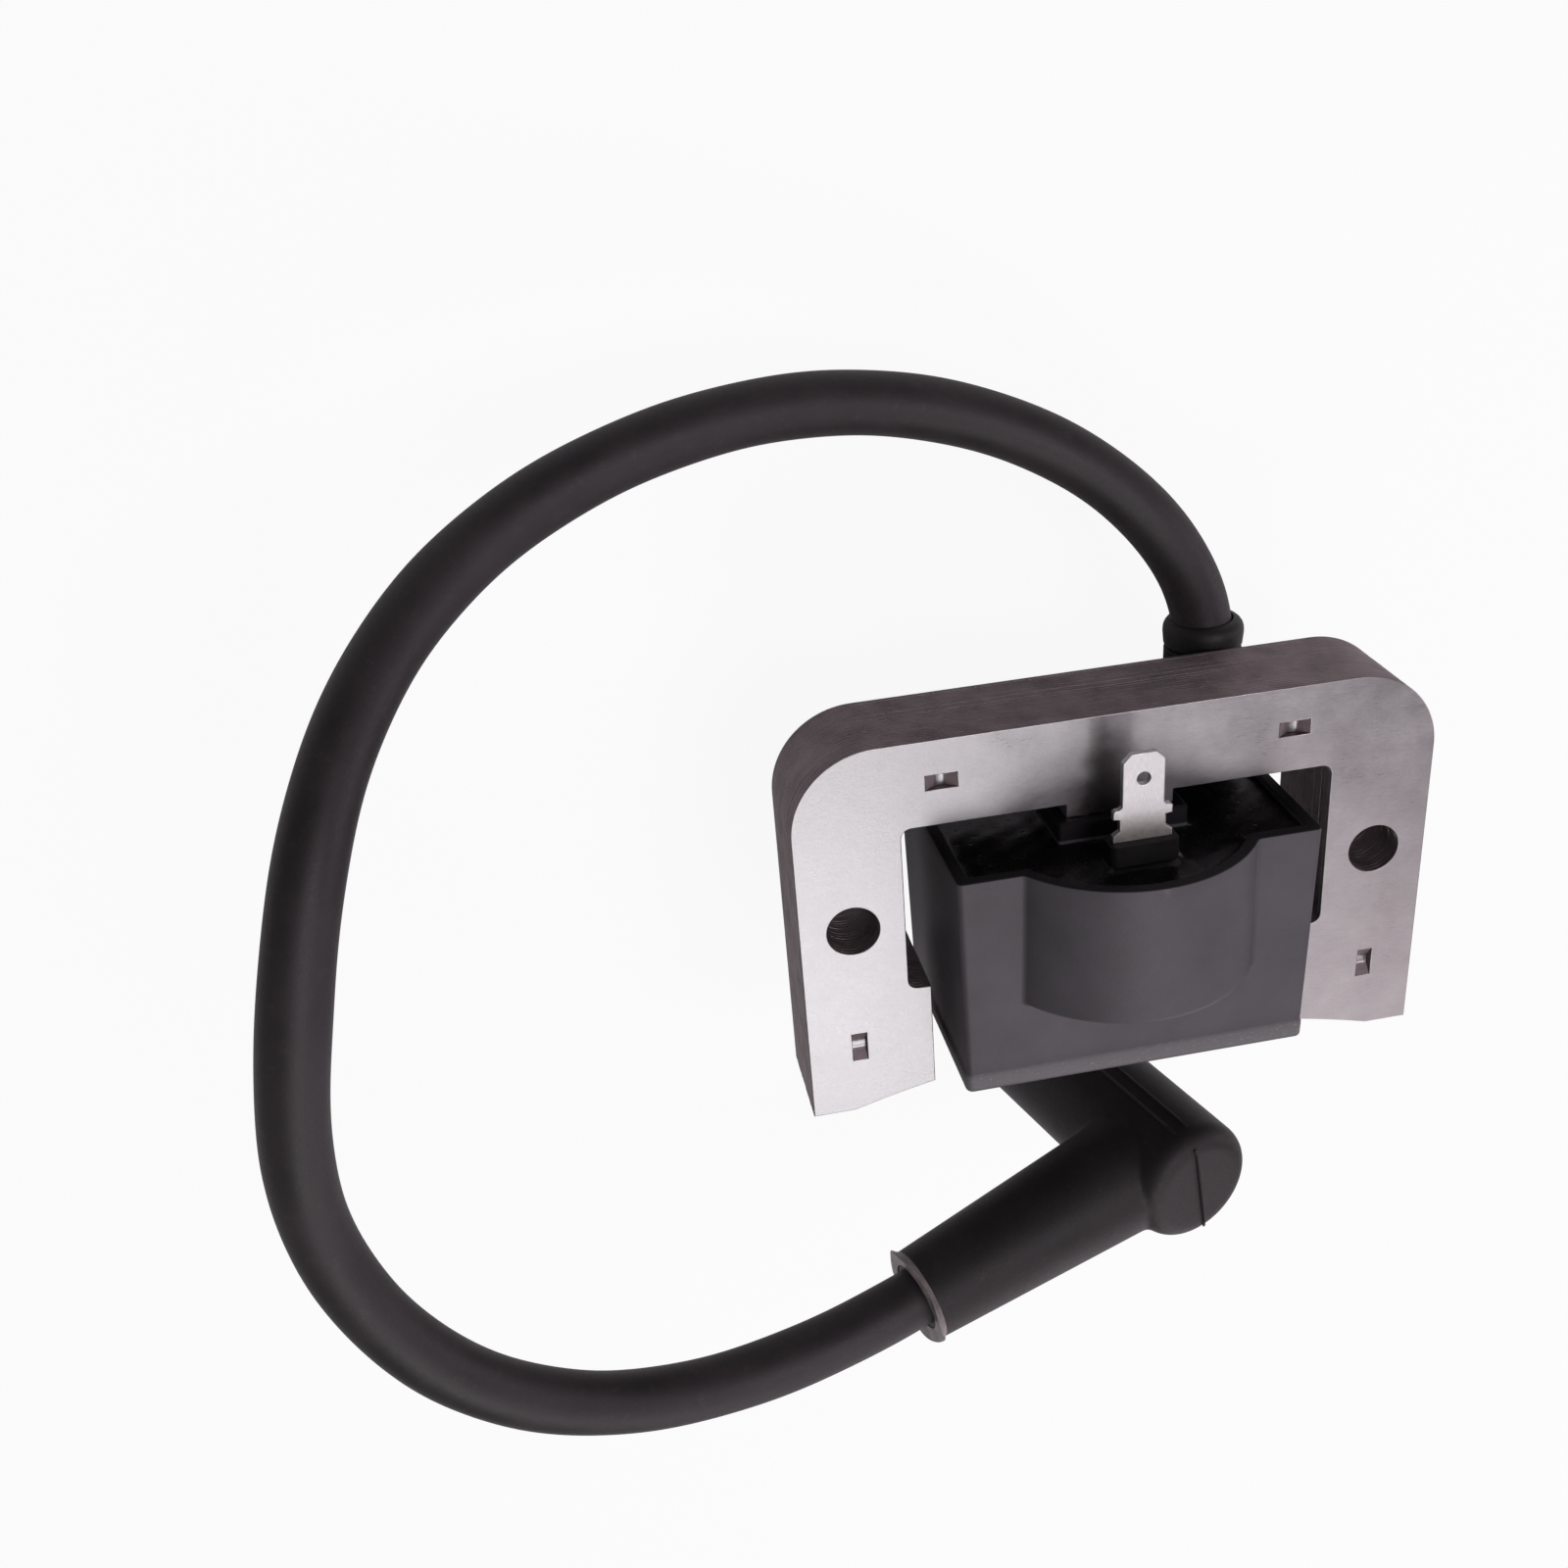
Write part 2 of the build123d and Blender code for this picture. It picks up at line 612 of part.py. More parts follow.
def lead_stretch(start, end, outer_r, inner_r=0, head=None, tail=None):
    """A round bar or tube between two shares of the lead's curve.

    It may begin with a straight run from a head point and end with one to a tail point.
    """
    stretch = lead_curve.trim(start, end)
    with BuildPart() as bar:
        with BuildLine() as path:
            if head:
                Line(head, stretch @ 0)
            add(stretch)
            if tail:
                Line(stretch @ 1, tail)
        first_point = head if head else stretch @ 0
        with BuildSketch(Plane(origin=first_point, z_dir=stretch % 0)):
            Circle(outer_r)
            if inner_r > 0:
                Circle(inner_r, mode=Mode.SUBTRACT)
        sweep()
    return bar.part


lead_pieces = {
    "lead_root": lead_stretch(0, ROOT_BEND - setback, LEAD_R, CONDUCTOR_R, head=tower_root),
    "conductor_root": lead_stretch(0, ROOT_BEND - setback, CONDUCTOR_R, head=pin_top),
    "lead_upper": lead_stretch(ROOT_BEND + setback, MID_BEND - setback, LEAD_R, CONDUCTOR_R),
    "conductor_upper": lead_stretch(ROOT_BEND + setback, MID_BEND - setback, CONDUCTOR_R),
    "lead_lower": lead_stretch(MID_BEND + setback, END_BEND - setback, LEAD_R, CONDUCTOR_R),
    "conductor_lower": lead_stretch(MID_BEND + setback, END_BEND - setback, CONDUCTOR_R),
    "lead_end": lead_stretch(END_BEND + setback, 1, LEAD_R, CONDUCTOR_R, tail=lead_tip),
    "conductor_end": lead_stretch(END_BEND + setback, 1, CONDUCTOR_R, tail=spike_tip),
}
for name, piece in lead_pieces.items():
    piece.label = name
    export_step(piece, f"parts/{name}.step")

# rubber seal where the lead leaves the tower, closed round the leaning lead
GROMMET_ROUND = 0.9
lead_in_grommet = lead_stretch(0, ROOT_BEND - setback, LEAD_R, head=tower_root)
with BuildPart() as lead_grommet:
    with BuildSketch(across(GROMMET_TOP_Y)):
        with Locations((TOWER_X, TOWER_Z)):
            Circle(TOWER_R)
    extrude(amount=GROMMET_TOP_Y - TOWER_TOP_Y)
    fillet(lead_grommet.edges().group_by(Axis.Y)[-1], GROMMET_ROUND)
    add(lead_in_grommet, mode=Mode.SUBTRACT)
lead_grommet.part.label = "lead_grommet"
export_step(lead_grommet.part, "parts/lead_grommet.step")

# ---- spark plug boot ----


def along_lead(distance):
    """A plane square to the boot's lead tube, at a distance from the elbow."""
    return Plane(origin=ELBOW + lead_dir * distance, z_dir=lead_dir)


def along_socket(distance):
    """A plane square to the boot's socket barrel, facing its mouth."""
    return Plane(origin=ELBOW + socket_dir * distance, z_dir=socket_dir)


STEM_R = 1.5
CAP_ROUND = 2.4
MOUTH_LIP = 0.7
MOUTH_LIP_LENGTH = 1.2
CLIP_TOP = BARREL_LENGTH - SOCKET_DEPTH - CLIP_DEPTH
with BuildPart() as plug_boot:
    with BuildSketch(along_socket(-CAP_LENGTH)):
        Circle(BARREL_R)
    extrude(amount=CAP_LENGTH + BARREL_LENGTH)
    cap_edge = plug_boot.edges().filter_by(GeomType.CIRCLE).sort_by_distance(
        ELBOW - socket_dir * CAP_LENGTH
    )[0]
    fillet(cap_edge, CAP_ROUND)
    with BuildSketch(along_lead(-TUBE_LENGTH)):
        Circle(TUBE_MOUTH_R)
    with BuildSketch(along_lead(0)):
        Circle(TUBE_ELBOW_R)
    loft()
    # lip round the tube's mouth
    with BuildSketch(along_lead(-TUBE_LENGTH)):
        Circle(TUBE_MOUTH_R + MOUTH_LIP)
    extrude(amount=MOUTH_LIP_LENGTH)
    with BuildSketch(along_lead(-TUBE_LENGTH)):
        Circle(LEAD_R + BOOT_GAP)
    extrude(amount=TUBE_LENGTH - LEAD_STOP + BOOT_GAP, mode=Mode.SUBTRACT)
    with BuildSketch(along_lead(-LEAD_STOP)):
        Circle(CONDUCTOR_R + BOOT_GAP)
    extrude(amount=LEAD_STOP, mode=Mode.SUBTRACT)
    with BuildSketch(along_socket(BARREL_LENGTH - SOCKET_DEPTH)):
        Circle(SOCKET_R)
    extrude(amount=SOCKET_DEPTH, mode=Mode.SUBTRACT)
    with BuildSketch(along_socket(CLIP_TOP)):
        Circle(CLIP_R)
    extrude(amount=CLIP_DEPTH, mode=Mode.SUBTRACT)
    with BuildSketch(along_socket(-STEM_R)):
        Circle(STEM_R)
    extrude(amount=CLIP_TOP + STEM_R, mode=Mode.SUBTRACT)
plug_boot.part.label = "plug_boot"
export_step(plug_boot.part, "parts/plug_boot.step")

# brass cup with a stem, which takes the spark plug's terminal nut
with BuildPart() as terminal_clip:
    with BuildSketch(along_socket(CLIP_TOP)):
        Circle(CLIP_R)
    extrude(amount=CLIP_DEPTH)
    with BuildSketch(along_socket(CLIP_TOP + CLIP_WALL)):
        Circle(CLIP_R - CLIP_WALL)
    extrude(amount=CLIP_DEPTH - CLIP_WALL, mode=Mode.SUBTRACT)
    with BuildSketch(along_socket(-STEM_R)):
        Circle(STEM_R)
    extrude(amount=CLIP_TOP + STEM_R)
    with BuildSketch(along_lead(-2 * STEM_R)):
        Circle(CONDUCTOR_R)
    extrude(amount=2 * STEM_R, mode=Mode.SUBTRACT)
terminal_clip.part.label = "terminal_clip"
export_step(terminal_clip.part, "parts/terminal_clip.step")

# spring ring that snaps into the groove of the terminal nut
RING_WIRE_R = 0.4
RING_DEPTH = 5.4
ring_centre = ELBOW + socket_dir * (CLIP_TOP + RING_DEPTH)
ring_plane = Plane(origin=ring_centre, x_dir=lead_dir, z_dir=lead_dir.cross(socket_dir))
with BuildPart() as clip_ring:
    with BuildSketch(ring_plane):
        with Locations((CLIP_RING_R, 0)):
            Circle(RING_WIRE_R)
    revolve(axis=Axis(ring_centre, socket_dir))
clip_ring.part.label = "clip_ring"
export_step(clip_ring.part, "parts/clip_ring.step")

# contact that runs from the clip's stem into the conductor and turns with the boot
SPIKE_GAP = 0.05
with BuildPart() as contact_spike:
    with BuildSketch(along_lead(-LEAD_STOP - SPIKE_REACH)):
        Circle(CONDUCTOR_R - SPIKE_GAP)
    extrude(amount=LEAD_STOP + SPIKE_REACH)
contact_spike.part.label = "contact_spike"
export_step(contact_spike.part, "parts/contact_spike.step")
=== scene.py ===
import json
import math
import random

import bmesh
import bpy
import numpy as np
from mathutils import Matrix, Vector


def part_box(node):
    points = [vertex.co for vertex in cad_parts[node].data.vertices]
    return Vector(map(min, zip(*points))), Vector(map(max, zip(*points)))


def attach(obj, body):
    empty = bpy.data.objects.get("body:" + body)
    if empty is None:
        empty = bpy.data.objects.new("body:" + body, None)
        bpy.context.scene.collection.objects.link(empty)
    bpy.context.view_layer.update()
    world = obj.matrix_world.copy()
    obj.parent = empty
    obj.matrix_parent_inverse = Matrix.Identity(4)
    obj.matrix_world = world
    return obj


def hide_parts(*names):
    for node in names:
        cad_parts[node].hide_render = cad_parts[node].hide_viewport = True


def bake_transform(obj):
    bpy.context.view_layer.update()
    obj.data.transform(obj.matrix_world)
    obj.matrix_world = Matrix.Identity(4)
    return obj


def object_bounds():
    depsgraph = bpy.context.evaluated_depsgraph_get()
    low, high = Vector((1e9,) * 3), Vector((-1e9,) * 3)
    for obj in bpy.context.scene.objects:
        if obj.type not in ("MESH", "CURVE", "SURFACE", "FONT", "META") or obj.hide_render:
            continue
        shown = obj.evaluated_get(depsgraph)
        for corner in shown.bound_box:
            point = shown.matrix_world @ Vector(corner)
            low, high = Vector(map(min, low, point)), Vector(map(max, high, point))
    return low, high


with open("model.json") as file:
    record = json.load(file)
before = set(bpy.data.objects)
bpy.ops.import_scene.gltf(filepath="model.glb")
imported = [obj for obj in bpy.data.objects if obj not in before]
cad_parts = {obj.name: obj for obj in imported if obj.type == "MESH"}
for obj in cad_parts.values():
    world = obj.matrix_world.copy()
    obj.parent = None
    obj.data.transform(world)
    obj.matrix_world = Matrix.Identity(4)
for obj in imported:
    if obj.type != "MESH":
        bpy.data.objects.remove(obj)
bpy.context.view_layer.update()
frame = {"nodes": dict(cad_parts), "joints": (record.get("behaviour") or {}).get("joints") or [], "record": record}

# The scene is in metres, in the frame of the CAD model: origin midway between the fixing holes
# on the rear face of the core, +X along the holes, +Y away from the flywheel, +Z out of the
# front face. Dimensions and points are kept in millimetres until a mesh is made.
MM = 0.001
SEED = 7

# ------------------------------------ dimensions, millimetres

core_low, core_high = (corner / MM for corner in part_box("core_stack"))
CORE_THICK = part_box("core_front_sheet")[1].z / MM
SHEET_COUNT = 22
SHEET_PITCH = CORE_THICK / SHEET_COUNT
SHEET_GAP = 0.015
SHEET_EDGE_R = 0.04
FRONT_EDGE_R = 0.11
SHEET_SHIFT = 0.02
CORE_HALF_WIDTH = core_high.x
CORE_TOP_Y = core_high.y
POLE_TIP_Y = core_low.y
CORE_CORNER_R = 10.0
WINDOW_HALF_WIDTH = 25.6
WINDOW_TOP_Y = 12.2
WINDOW_CORNER_R = 1.2
SHOULDER_Y = -9.2
SHOE_INNER_X = 22.9
CENTRE_LEG_HALF = 6.35
FLYWHEEL_R = 120.0
FLYWHEEL_CENTRE_Y = -140.8
HOLE_X = 31.75
HOLE_R = 3.1
MID_Z = CORE_THICK / 2

# stamped interlocks: a short strip is pushed down into a V between two cuts
DENT_LENGTH = 3.7
DENT_WIDTH = 1.8
DENTED_SHEETS = 3
DENT_PLACES = ((-20.7, 17.6, 0), (20.7, 17.6, 0), (-31.9, -16.2, 90), (31.9, -16.2, 90))

# housing
HOUSING_HALF_WIDTH = 21.2
HOUSING_HALF_DEPTH = 13.85
HOUSING_RIM_Y = 8.5
HOUSING_FLOOR_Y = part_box("coil_housing")[0].y / MM
HOUSING_DRAFT = math.tan(math.radians(1.2))
HOUSING_WALL = 1.5
BULGE_R = 16.5
BULGE_OFFSET = 4.45
BULGE_END_Y = -9.0
BULGE_SIDE_X = 13.2
FOOT_HEIGHT = 2.1
FOOT_LIP = 0.16
SLEEVE_HALF = 7.7
SLEEVE_BORE_HALF = 6.5
SLEEVE_TOP_Y = 10.6
POTTING_TOP_Y = 7.9

# tower, grommet and lead
TOWER = Vector((17.0, 0, -5.5))
TOWER_R = 4.7
TOWER_FOOT_Y = 5.4
TOWER_TOP_Y = 21.4
GROMMET_TOP_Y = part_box("lead_grommet")[1].y / MM
LEAD_R = 3.5
LEAD_ROOT_Y = 8.0
PATH_STEP = 0.9
# path steps on either side of each of the lead's joints
BEND_REACH = (7, 26, 22)

# kill terminal
TAB_Z = 19.5
TAB_WIDTH = 4.8
TAB_SHOULDER_WIDTH = 6.8
TAB_THICK = 0.8
TAB_TOP_Y = 21.2
TAB_SHOULDER_Y = 14.0
TAB_FOOT_Y = 6.9
TAB_HOLE_Y = 18.1
TAB_HOLE_R = 0.75
POST_HALF_WIDTH = 4.0
POST_HALF_DEPTH = 1.6

# spark plug boot
joint_by_name = {joint["name"]: joint for joint in frame["joints"]}
ELBOW = Vector(joint_by_name["boot_swivel"]["pos_m"]) / MM
LEAD_DIR = Vector(joint_by_name["boot_swivel"]["axis"]).normalized()
plug_mount = next(m for m in frame["record"]["mounts"] if m["name"] == "plug_socket")
SOCKET_DIR = Vector(plug_mount["axis"]).normalized()
TUBE_LENGTH = 37.0
TUBE_MOUTH_R = 5.6
TUBE_ELBOW_R = 7.6
BARREL_R = 8.1
BARREL_LENGTH = 33.0
CAP_LENGTH = 8.0
CAP_ROUND = 2.4
SOCKET_R = 5.2
SOCKET_DEPTH = 19.0
CLIP_R = 4.5
CLIP_DEPTH = 9.0
LEAD_STOP = 9.0
BOOT_MOUTH = ELBOW - LEAD_DIR * TUBE_LENGTH
SEAM_OFFSET = 0.9
FLASH_INNER_R = 5.5

# points the lead's centreline passes through, from the tower to the boot's mouth
LEAD_POINTS = [
    (TOWER.x, TOWER_TOP_Y, TOWER.z),
    (9.6, 38.6, -5.9),
    (-16.2, 54.3, -6.1),
    (-43.6, 56.9, 0.7),
    (-67.7, 49.7, 10.7),
    (-82.4, 36.2, 26.8),
    (-89.4, 15.7, 37.3),
    (-92.1, -8.3, 37.9),
    (-83.8, -29.5, 37.2),
    (-68.6, -43.3, 33.6),
    (-46.8, -49.4, 27.3),
    tuple(BOOT_MOUTH),
]


# ------------------------------------ mesh helpers


def add_object(name, data):
    """A new object in the scene for a mesh, a curve, a light or a camera."""
    obj = bpy.data.objects.new(name, data)
    bpy.context.scene.collection.objects.link(obj)
    return obj


def mesh_object(name, points, faces):
    """A mesh object from points in millimetres."""
    mesh = bpy.data.meshes.new(name)
    mesh.from_pydata([tuple(MM * c for c in p) for p in points], [], faces)
    mesh.validate()
    return add_object(name, mesh)


def clean(obj, sharp_degrees=35, weld=0.002):
    """Welds points, turns faces outward, and shades smooth except across sharp edges."""
    bm = bmesh.new()
    bm.from_mesh(obj.data)
    bmesh.ops.remove_doubles(bm, verts=bm.verts, dist=weld * MM)
    bmesh.ops.dissolve_degenerate(bm, edges=bm.edges, dist=weld * MM * 0.5)
    bmesh.ops.recalc_face_normals(bm, faces=bm.faces)
    limit = math.radians(sharp_degrees)
    for edge in bm.edges:
        edge.smooth = len(edge.link_faces) == 2 and edge.calc_face_angle() < limit
    for face in bm.faces:
        face.smooth = True
    bm.to_mesh(obj.data)
    bm.free()
    return obj


def ring_mesh(name, rings, closed=False):
    """Quads between rings of points. An open run is capped, a closed one meets its start."""
    count = len(rings[0])
    points = [p for ring in rings for p in ring]
    faces = []
    pairs = len(rings) if closed else len(rings) - 1
    for i in range(pairs):
        low = i * count
        high = ((i + 1) % len(rings)) * count
        for j in range(count):
            k = (j + 1) % count
            faces.append((low + j, low + k, high + k, high + j))
    if not closed:
        faces.append(tuple(range(count)))
        faces.append(tuple(range(len(points) - count, len(points))))
    return mesh_object(name, points, faces)


def revolved(name, profile, origin, axis, segments=96, closed=True):
    """A form of revolution from (radius, height) pairs: a closed ring, or a capped solid."""
    axis = Vector(axis).normalized()
    first = axis.orthogonal().normalized()
    second = axis.cross(first)
    rings = []
    for radius, height in profile:
        ring = []
        for s in range(segments):
            a = 2 * math.pi * s / segments
            out = first * math.cos(a) + second * math.sin(a)
            ring.append(Vector(origin) + axis * height + out * radius)
        rings.append(ring)
    return ring_mesh(name, rings, closed)


def combine(target, other, operation):
    """Joins another closed mesh to the target, or cuts it away, and removes it."""
    modifier = target.modifiers.new("combine", "BOOLEAN")
    modifier.operation = operation
    modifier.solver = "EXACT"
    modifier.object = other
    bake(target)
    bpy.data.objects.remove(other)
    return target


def bake(obj):
    """Replaces an object's mesh by the mesh its modifiers make."""
    bpy.context.view_layer.update()
    evaluated = obj.evaluated_get(bpy.context.evaluated_depsgraph_get())
    mesh = bpy.data.meshes.new_from_object(evaluated)
    obj.modifiers.clear()
    obj.data = mesh
    return obj


def arc(centre, radius, start, end, steps):
    """Points of an arc between two angles in degrees, both ends included."""
    points = []
    for i in range(steps + 1):
        a = math.radians(start + (end - start) * i / steps)
        points.append((centre[0] + radius * math.cos(a), centre[1] + radius * math.sin(a)))
    return points


def plate(name, outline, holes, low_z, high_z, edge_r, edge_steps=2):
    """A flat plate with rounded edges, from an outline and holes given as (x, y) points."""
    curve = bpy.data.curves.new(name, "CURVE")
    curve.dimensions = "2D"
    curve.fill_mode = "BOTH"
    curve.extrude = ((high_z - low_z) / 2 - edge_r) * MM
    curve.bevel_depth = edge_r * MM
    curve.bevel_resolution = edge_steps
    curve.offset = -edge_r * MM
    for loop in [outline] + holes:
        spline = curve.splines.new("POLY")
        spline.points.add(len(loop) - 1)
        for point, (x, y) in zip(spline.points, loop):
            point.co = (x * MM, y * MM, 0, 1)
        spline.use_cyclic_u = True
    helper = add_object(name + "_curve", curve)
    bpy.context.view_layer.update()
    evaluated = helper.evaluated_get(bpy.context.evaluated_depsgraph_get())
    mesh = bpy.data.meshes.new_from_object(evaluated)
    bpy.data.objects.remove(helper)
    bpy.data.curves.remove(curve)
    mesh.transform(Matrix.Translation((0, 0, (low_z + high_z) / 2 * MM)))
    mesh.materials.clear()
    obj = clean(add_object(name, mesh), 40)
    for face in obj.data.polygons:
        face.use_smooth = abs(face.normal.z) < 0.99
    return obj


def join(objects, name):
    """One object from several, each keeping its own closed shell."""
    bm = bmesh.new()
    for obj in objects:
        bm.from_mesh(obj.data)
        bpy.data.objects.remove(obj)
    mesh = bpy.data.meshes.new(name)
    bm.to_mesh(mesh)
    bm.free()
    return add_object(name, mesh)


# ------------------------------------ material helpers


class Shader:
    """A node material being built, with texture coordinates in millimetres of the frame."""

    def __init__(self, name, **settings):
        self.material = bpy.data.materials.new(name)
        self.material.use_nodes = True
        self.tree = self.material.node_tree
        self.surface = self.tree.nodes["Principled BSDF"]
        place = self.tree.nodes.new("ShaderNodeTexCoord")
        self.coords = self.node("ShaderNodeMapping", {"Vector": place.outputs["Object"]})
        self.coords.inputs["Scale"].default_value = (1 / MM,) * 3
        for key, value in settings.items():
            self.set(key.replace("_", " "), value)

    def node(self, kind, inputs=None, **attributes):
        """A new node with its attributes set and its inputs fed."""
        made = self.tree.nodes.new(kind)
        for key, value in attributes.items():
            setattr(made, key, value)
        for key, value in (inputs or {}).items():
            self.feed(made.inputs[key], value)
        return made

    def feed(self, socket, value):
        """Links an output to a socket, or sets the socket's own value."""
        if isinstance(value, bpy.types.NodeSocket):
            self.tree.links.new(value, socket)
        elif isinstance(value, bpy.types.Node):
            self.tree.links.new(value.outputs[0], socket)
        elif isinstance(value, (tuple, list)) and len(value) == 3 and socket.type == "RGBA":
            socket.default_value = (*value, 1)
        else:
            socket.default_value = value

    def set(self, name, value):
        self.feed(self.surface.inputs[name], value)

    def stretched(self, scale):
        """Coordinates scaled by a different amount along each axis."""
        mapping = self.node("ShaderNodeMapping", {"Vector": self.coords})
        mapping.inputs["Scale"].default_value = scale
        return mapping

    def noise(self, scale, detail=3, roughness=0.55, coords=None):
        inputs = {"Vector": coords or self.coords, "Scale": scale, "Detail": detail}
        inputs["Roughness"] = roughness
        return self.node("ShaderNodeTexNoise", inputs).outputs["Fac"]

    def math(self, operation, a, b=0.0):
        return self.node("ShaderNodeMath", {0: a, 1: b}, operation=operation).outputs[0]

    def remap(self, value, low, high, to_low, to_high):
        inputs = {"Value": value, "From Min": low, "From Max": high}
        inputs.update({"To Min": to_low, "To Max": to_high})
        return self.node("ShaderNodeMapRange", inputs).outputs["Result"]

    def ramp(self, value, stops):
        node = self.node("ShaderNodeValToRGB", {"Fac": value})
        elements = node.color_ramp.elements
        while len(elements) < len(stops):
            elements.new(0.5)
        for element, (place, colour) in zip(elements, stops):
            element.position = place
            element.color = (*colour, 1)
        return node.outputs["Color"]

    def mix(self, share, a, b):
        """One colour at a share of 0, the other at 1."""
        inputs = {"Factor": share, "A": a, "B": b}
        return self.node("ShaderNodeMix", inputs, data_type="RGBA").outputs["Result"]

    def height(self, value, depth, strength=1.0, normal=None):
        """Bump with a depth in millimetres, on top of an earlier one if that is given."""
        inputs = {"Height": value, "Distance": depth * MM, "Strength": strength}
        if normal:
            inputs["Normal"] = normal
        bump = self.node("ShaderNodeBump", inputs)
        self.set("Normal", bump)
        return bump

    def axis(self, letter):
        """One coordinate in millimetres."""
        return self.node("ShaderNodeSeparateXYZ", {0: self.coords}).outputs[letter]

    def edge_wear(self, low=0.52, high=0.6):
        """1 along convex edges, 0 on flat stretches."""
        pointiness = self.node("ShaderNodeNewGeometry").outputs["Pointiness"]
        return self.remap(pointiness, low, high, 0, 1)


def rolled_steel(name, light, dark, roughness):
    """Bare sheet steel with fine rolling lines, cloudy patches and a faint grain."""
    s = Shader(name, Metallic=1.0)
    clouds = s.noise(0.16, 3)
    lines = s.noise(1.0, 4, 0.7, s.stretched((0.9, 9, 9)))
    grain = s.noise(3.4, 4, 0.8)
    tone = s.math("ADD", s.math("MULTIPLY", clouds, 0.45), s.math("MULTIPLY", lines, 0.35))
    tone = s.math("ADD", tone, s.math("MULTIPLY", grain, 0.2))
    s.set("Base Color", s.ramp(tone, [(0.3, dark), (0.7, light)]))
    rough = s.remap(s.math("ADD", lines, clouds), 0.7, 1.3, roughness - 0.05, roughness + 0.07)
    s.set("Roughness", rough)
    s.height(s.math("ADD", grain, s.math("MULTIPLY", lines, 0.6)), 0.014)
    return s.material


def sheared_edge(name):
    """Varnished lamination edges: dark, brownish, streaked along the cut."""
    s = Shader(name, Metallic=0.55)
    streaks = s.noise(1.0, 4, 0.7, s.stretched((6, 6, 0.8)))
    stain = s.noise(0.22, 3)
    speck = s.noise(5, 3, 0.75)
    varnish = s.ramp(stain, [(0.35, (0.14, 0.108, 0.113)), (0.62, (0.25, 0.20, 0.206))])
    bare = s.mix(s.remap(speck, 0.5, 0.78, 0, 1), varnish, (0.33, 0.29, 0.29))
    s.set("Base Color", s.mix(s.remap(streaks, 0.45, 0.75, 0, 0.6), bare, (0.25, 0.215, 0.22)))
    s.set("Roughness", s.remap(speck, 0.3, 0.7, 0.42, 0.62))
    s.height(s.math("ADD", streaks, speck), 0.03, 0.8)
    return s.material


def housing_plastic():
    """Charcoal nylon: fine spark-eroded texture, a paler band along the foot with pale flecks, near black along
    the very bottom and on top of the rim, pale scuffs on the edges.
    """
    s = Shader("housing_plastic", Specular_IOR_Level=0.42)
    fine = s.noise(4.2, 4, 0.7)
    cloud = s.noise(0.13, 3)
    body = s.ramp(cloud, [(0.3, (0.063, 0.059, 0.066)), (0.7, (0.081, 0.076, 0.085))])
    flecks = s.remap(s.noise(1.9, 4, 0.75, s.stretched((0.7, 1.2, 1.2))), 0.55, 0.68, 0, 1)
    floor, rim = HOUSING_FLOOR_Y, HOUSING_RIM_Y
    foot = s.remap(s.axis("Y"), floor + 2.6, floor + 2.1, 0, 1)
    sole = s.remap(s.axis("Y"), floor + 0.55, floor + 0.2, 0, 1)
    above_rim = s.remap(s.axis("Y"), rim - 0.2, rim - 0.05, 0, 1)
    flecked_foot = s.math("MULTIPLY", foot, flecks)
    # the foot band is coloured paler than the body
    paler_foot_band = s.mix(s.math("MULTIPLY", foot, 0.7), body, (0.165, 0.16, 0.165))
    pale = s.mix(s.math("MULTIPLY", flecked_foot, 0.5), paler_foot_band, (0.36, 0.35, 0.35))
    worn = s.mix(s.math("MULTIPLY", s.edge_wear(), 0.22), pale, (0.21, 0.20, 0.21))
    # the last half millimetre of the foot is coloured near black
    darkened_sole = s.mix(s.math("MULTIPLY", sole, 0.75), worn, (0.022, 0.02, 0.022))
    s.set("Base Color", s.mix(above_rim, darkened_sole, (0.009, 0.008, 0.009)))
    s.set("Specular IOR Level", s.remap(above_rim, 0, 1, 0.42, 0.18))
    s.set("Roughness", s.remap(fine, 0.3, 0.7, 0.46, 0.62))
    first = s.height(fine, 0.035, 0.7)
    s.height(flecks, 0.05, s.math("MULTIPLY", foot, 0.7), first)
    return s.material


def potting_epoxy():
    """Poured black epoxy: glossy, with slow waves, dust and a few pin bubbles."""
    s = Shader("potting_epoxy", Specular_IOR_Level=0.22)
    dust = s.remap(s.noise(6.5, 3, 0.8), 0.66, 0.74, 0, 0.25)
    s.set("Base Color", s.mix(dust, (0.007, 0.0065, 0.007), (0.09, 0.085, 0.08)))
    s.set("Roughness", s.remap(s.noise(0.5, 3), 0.3, 0.7, 0.16, 0.34))
    first = s.height(s.noise(0.35, 2), 0.08, 0.5)
    bubbles = s.node("ShaderNodeTexVoronoi", {"Vector": s.coords, "Scale": 0.55})
    pits = s.remap(bubbles.outputs["Distance"], 0.0, 0.16, 0, 1)
    s.height(pits, 0.1, 0.5, first)
    return s.material


def black_rubber(name, base, lift, grain_depth=0.03, specular=0.4):
    """Matte black moulded or extruded rubber with bloom and handling marks."""
    s = Shader(name, Specular_IOR_Level=specular)
    bloom = s.noise(0.09, 4, 0.6)
    fine = s.noise(3.4, 4, 0.7)
    rub = s.remap(s.noise(0.7, 4, 0.7), 0.56, 0.74, 0, 1)
    colour = s.ramp(bloom, [(0.3, base), (0.72, lift)])
    marks = tuple(c * 2.1 for c in lift)
    s.set("Base Color", s.mix(s.math("MULTIPLY", rub, 0.25), colour, marks))
    s.set("Roughness", s.remap(s.math("ADD", fine, bloom), 0.7, 1.3, 0.44, 0.62))
    s.set("Sheen Weight", 0.06)
    s.set("Sheen Roughness", 0.4)
    s.height(fine, grain_depth, 0.6)
    return s.material


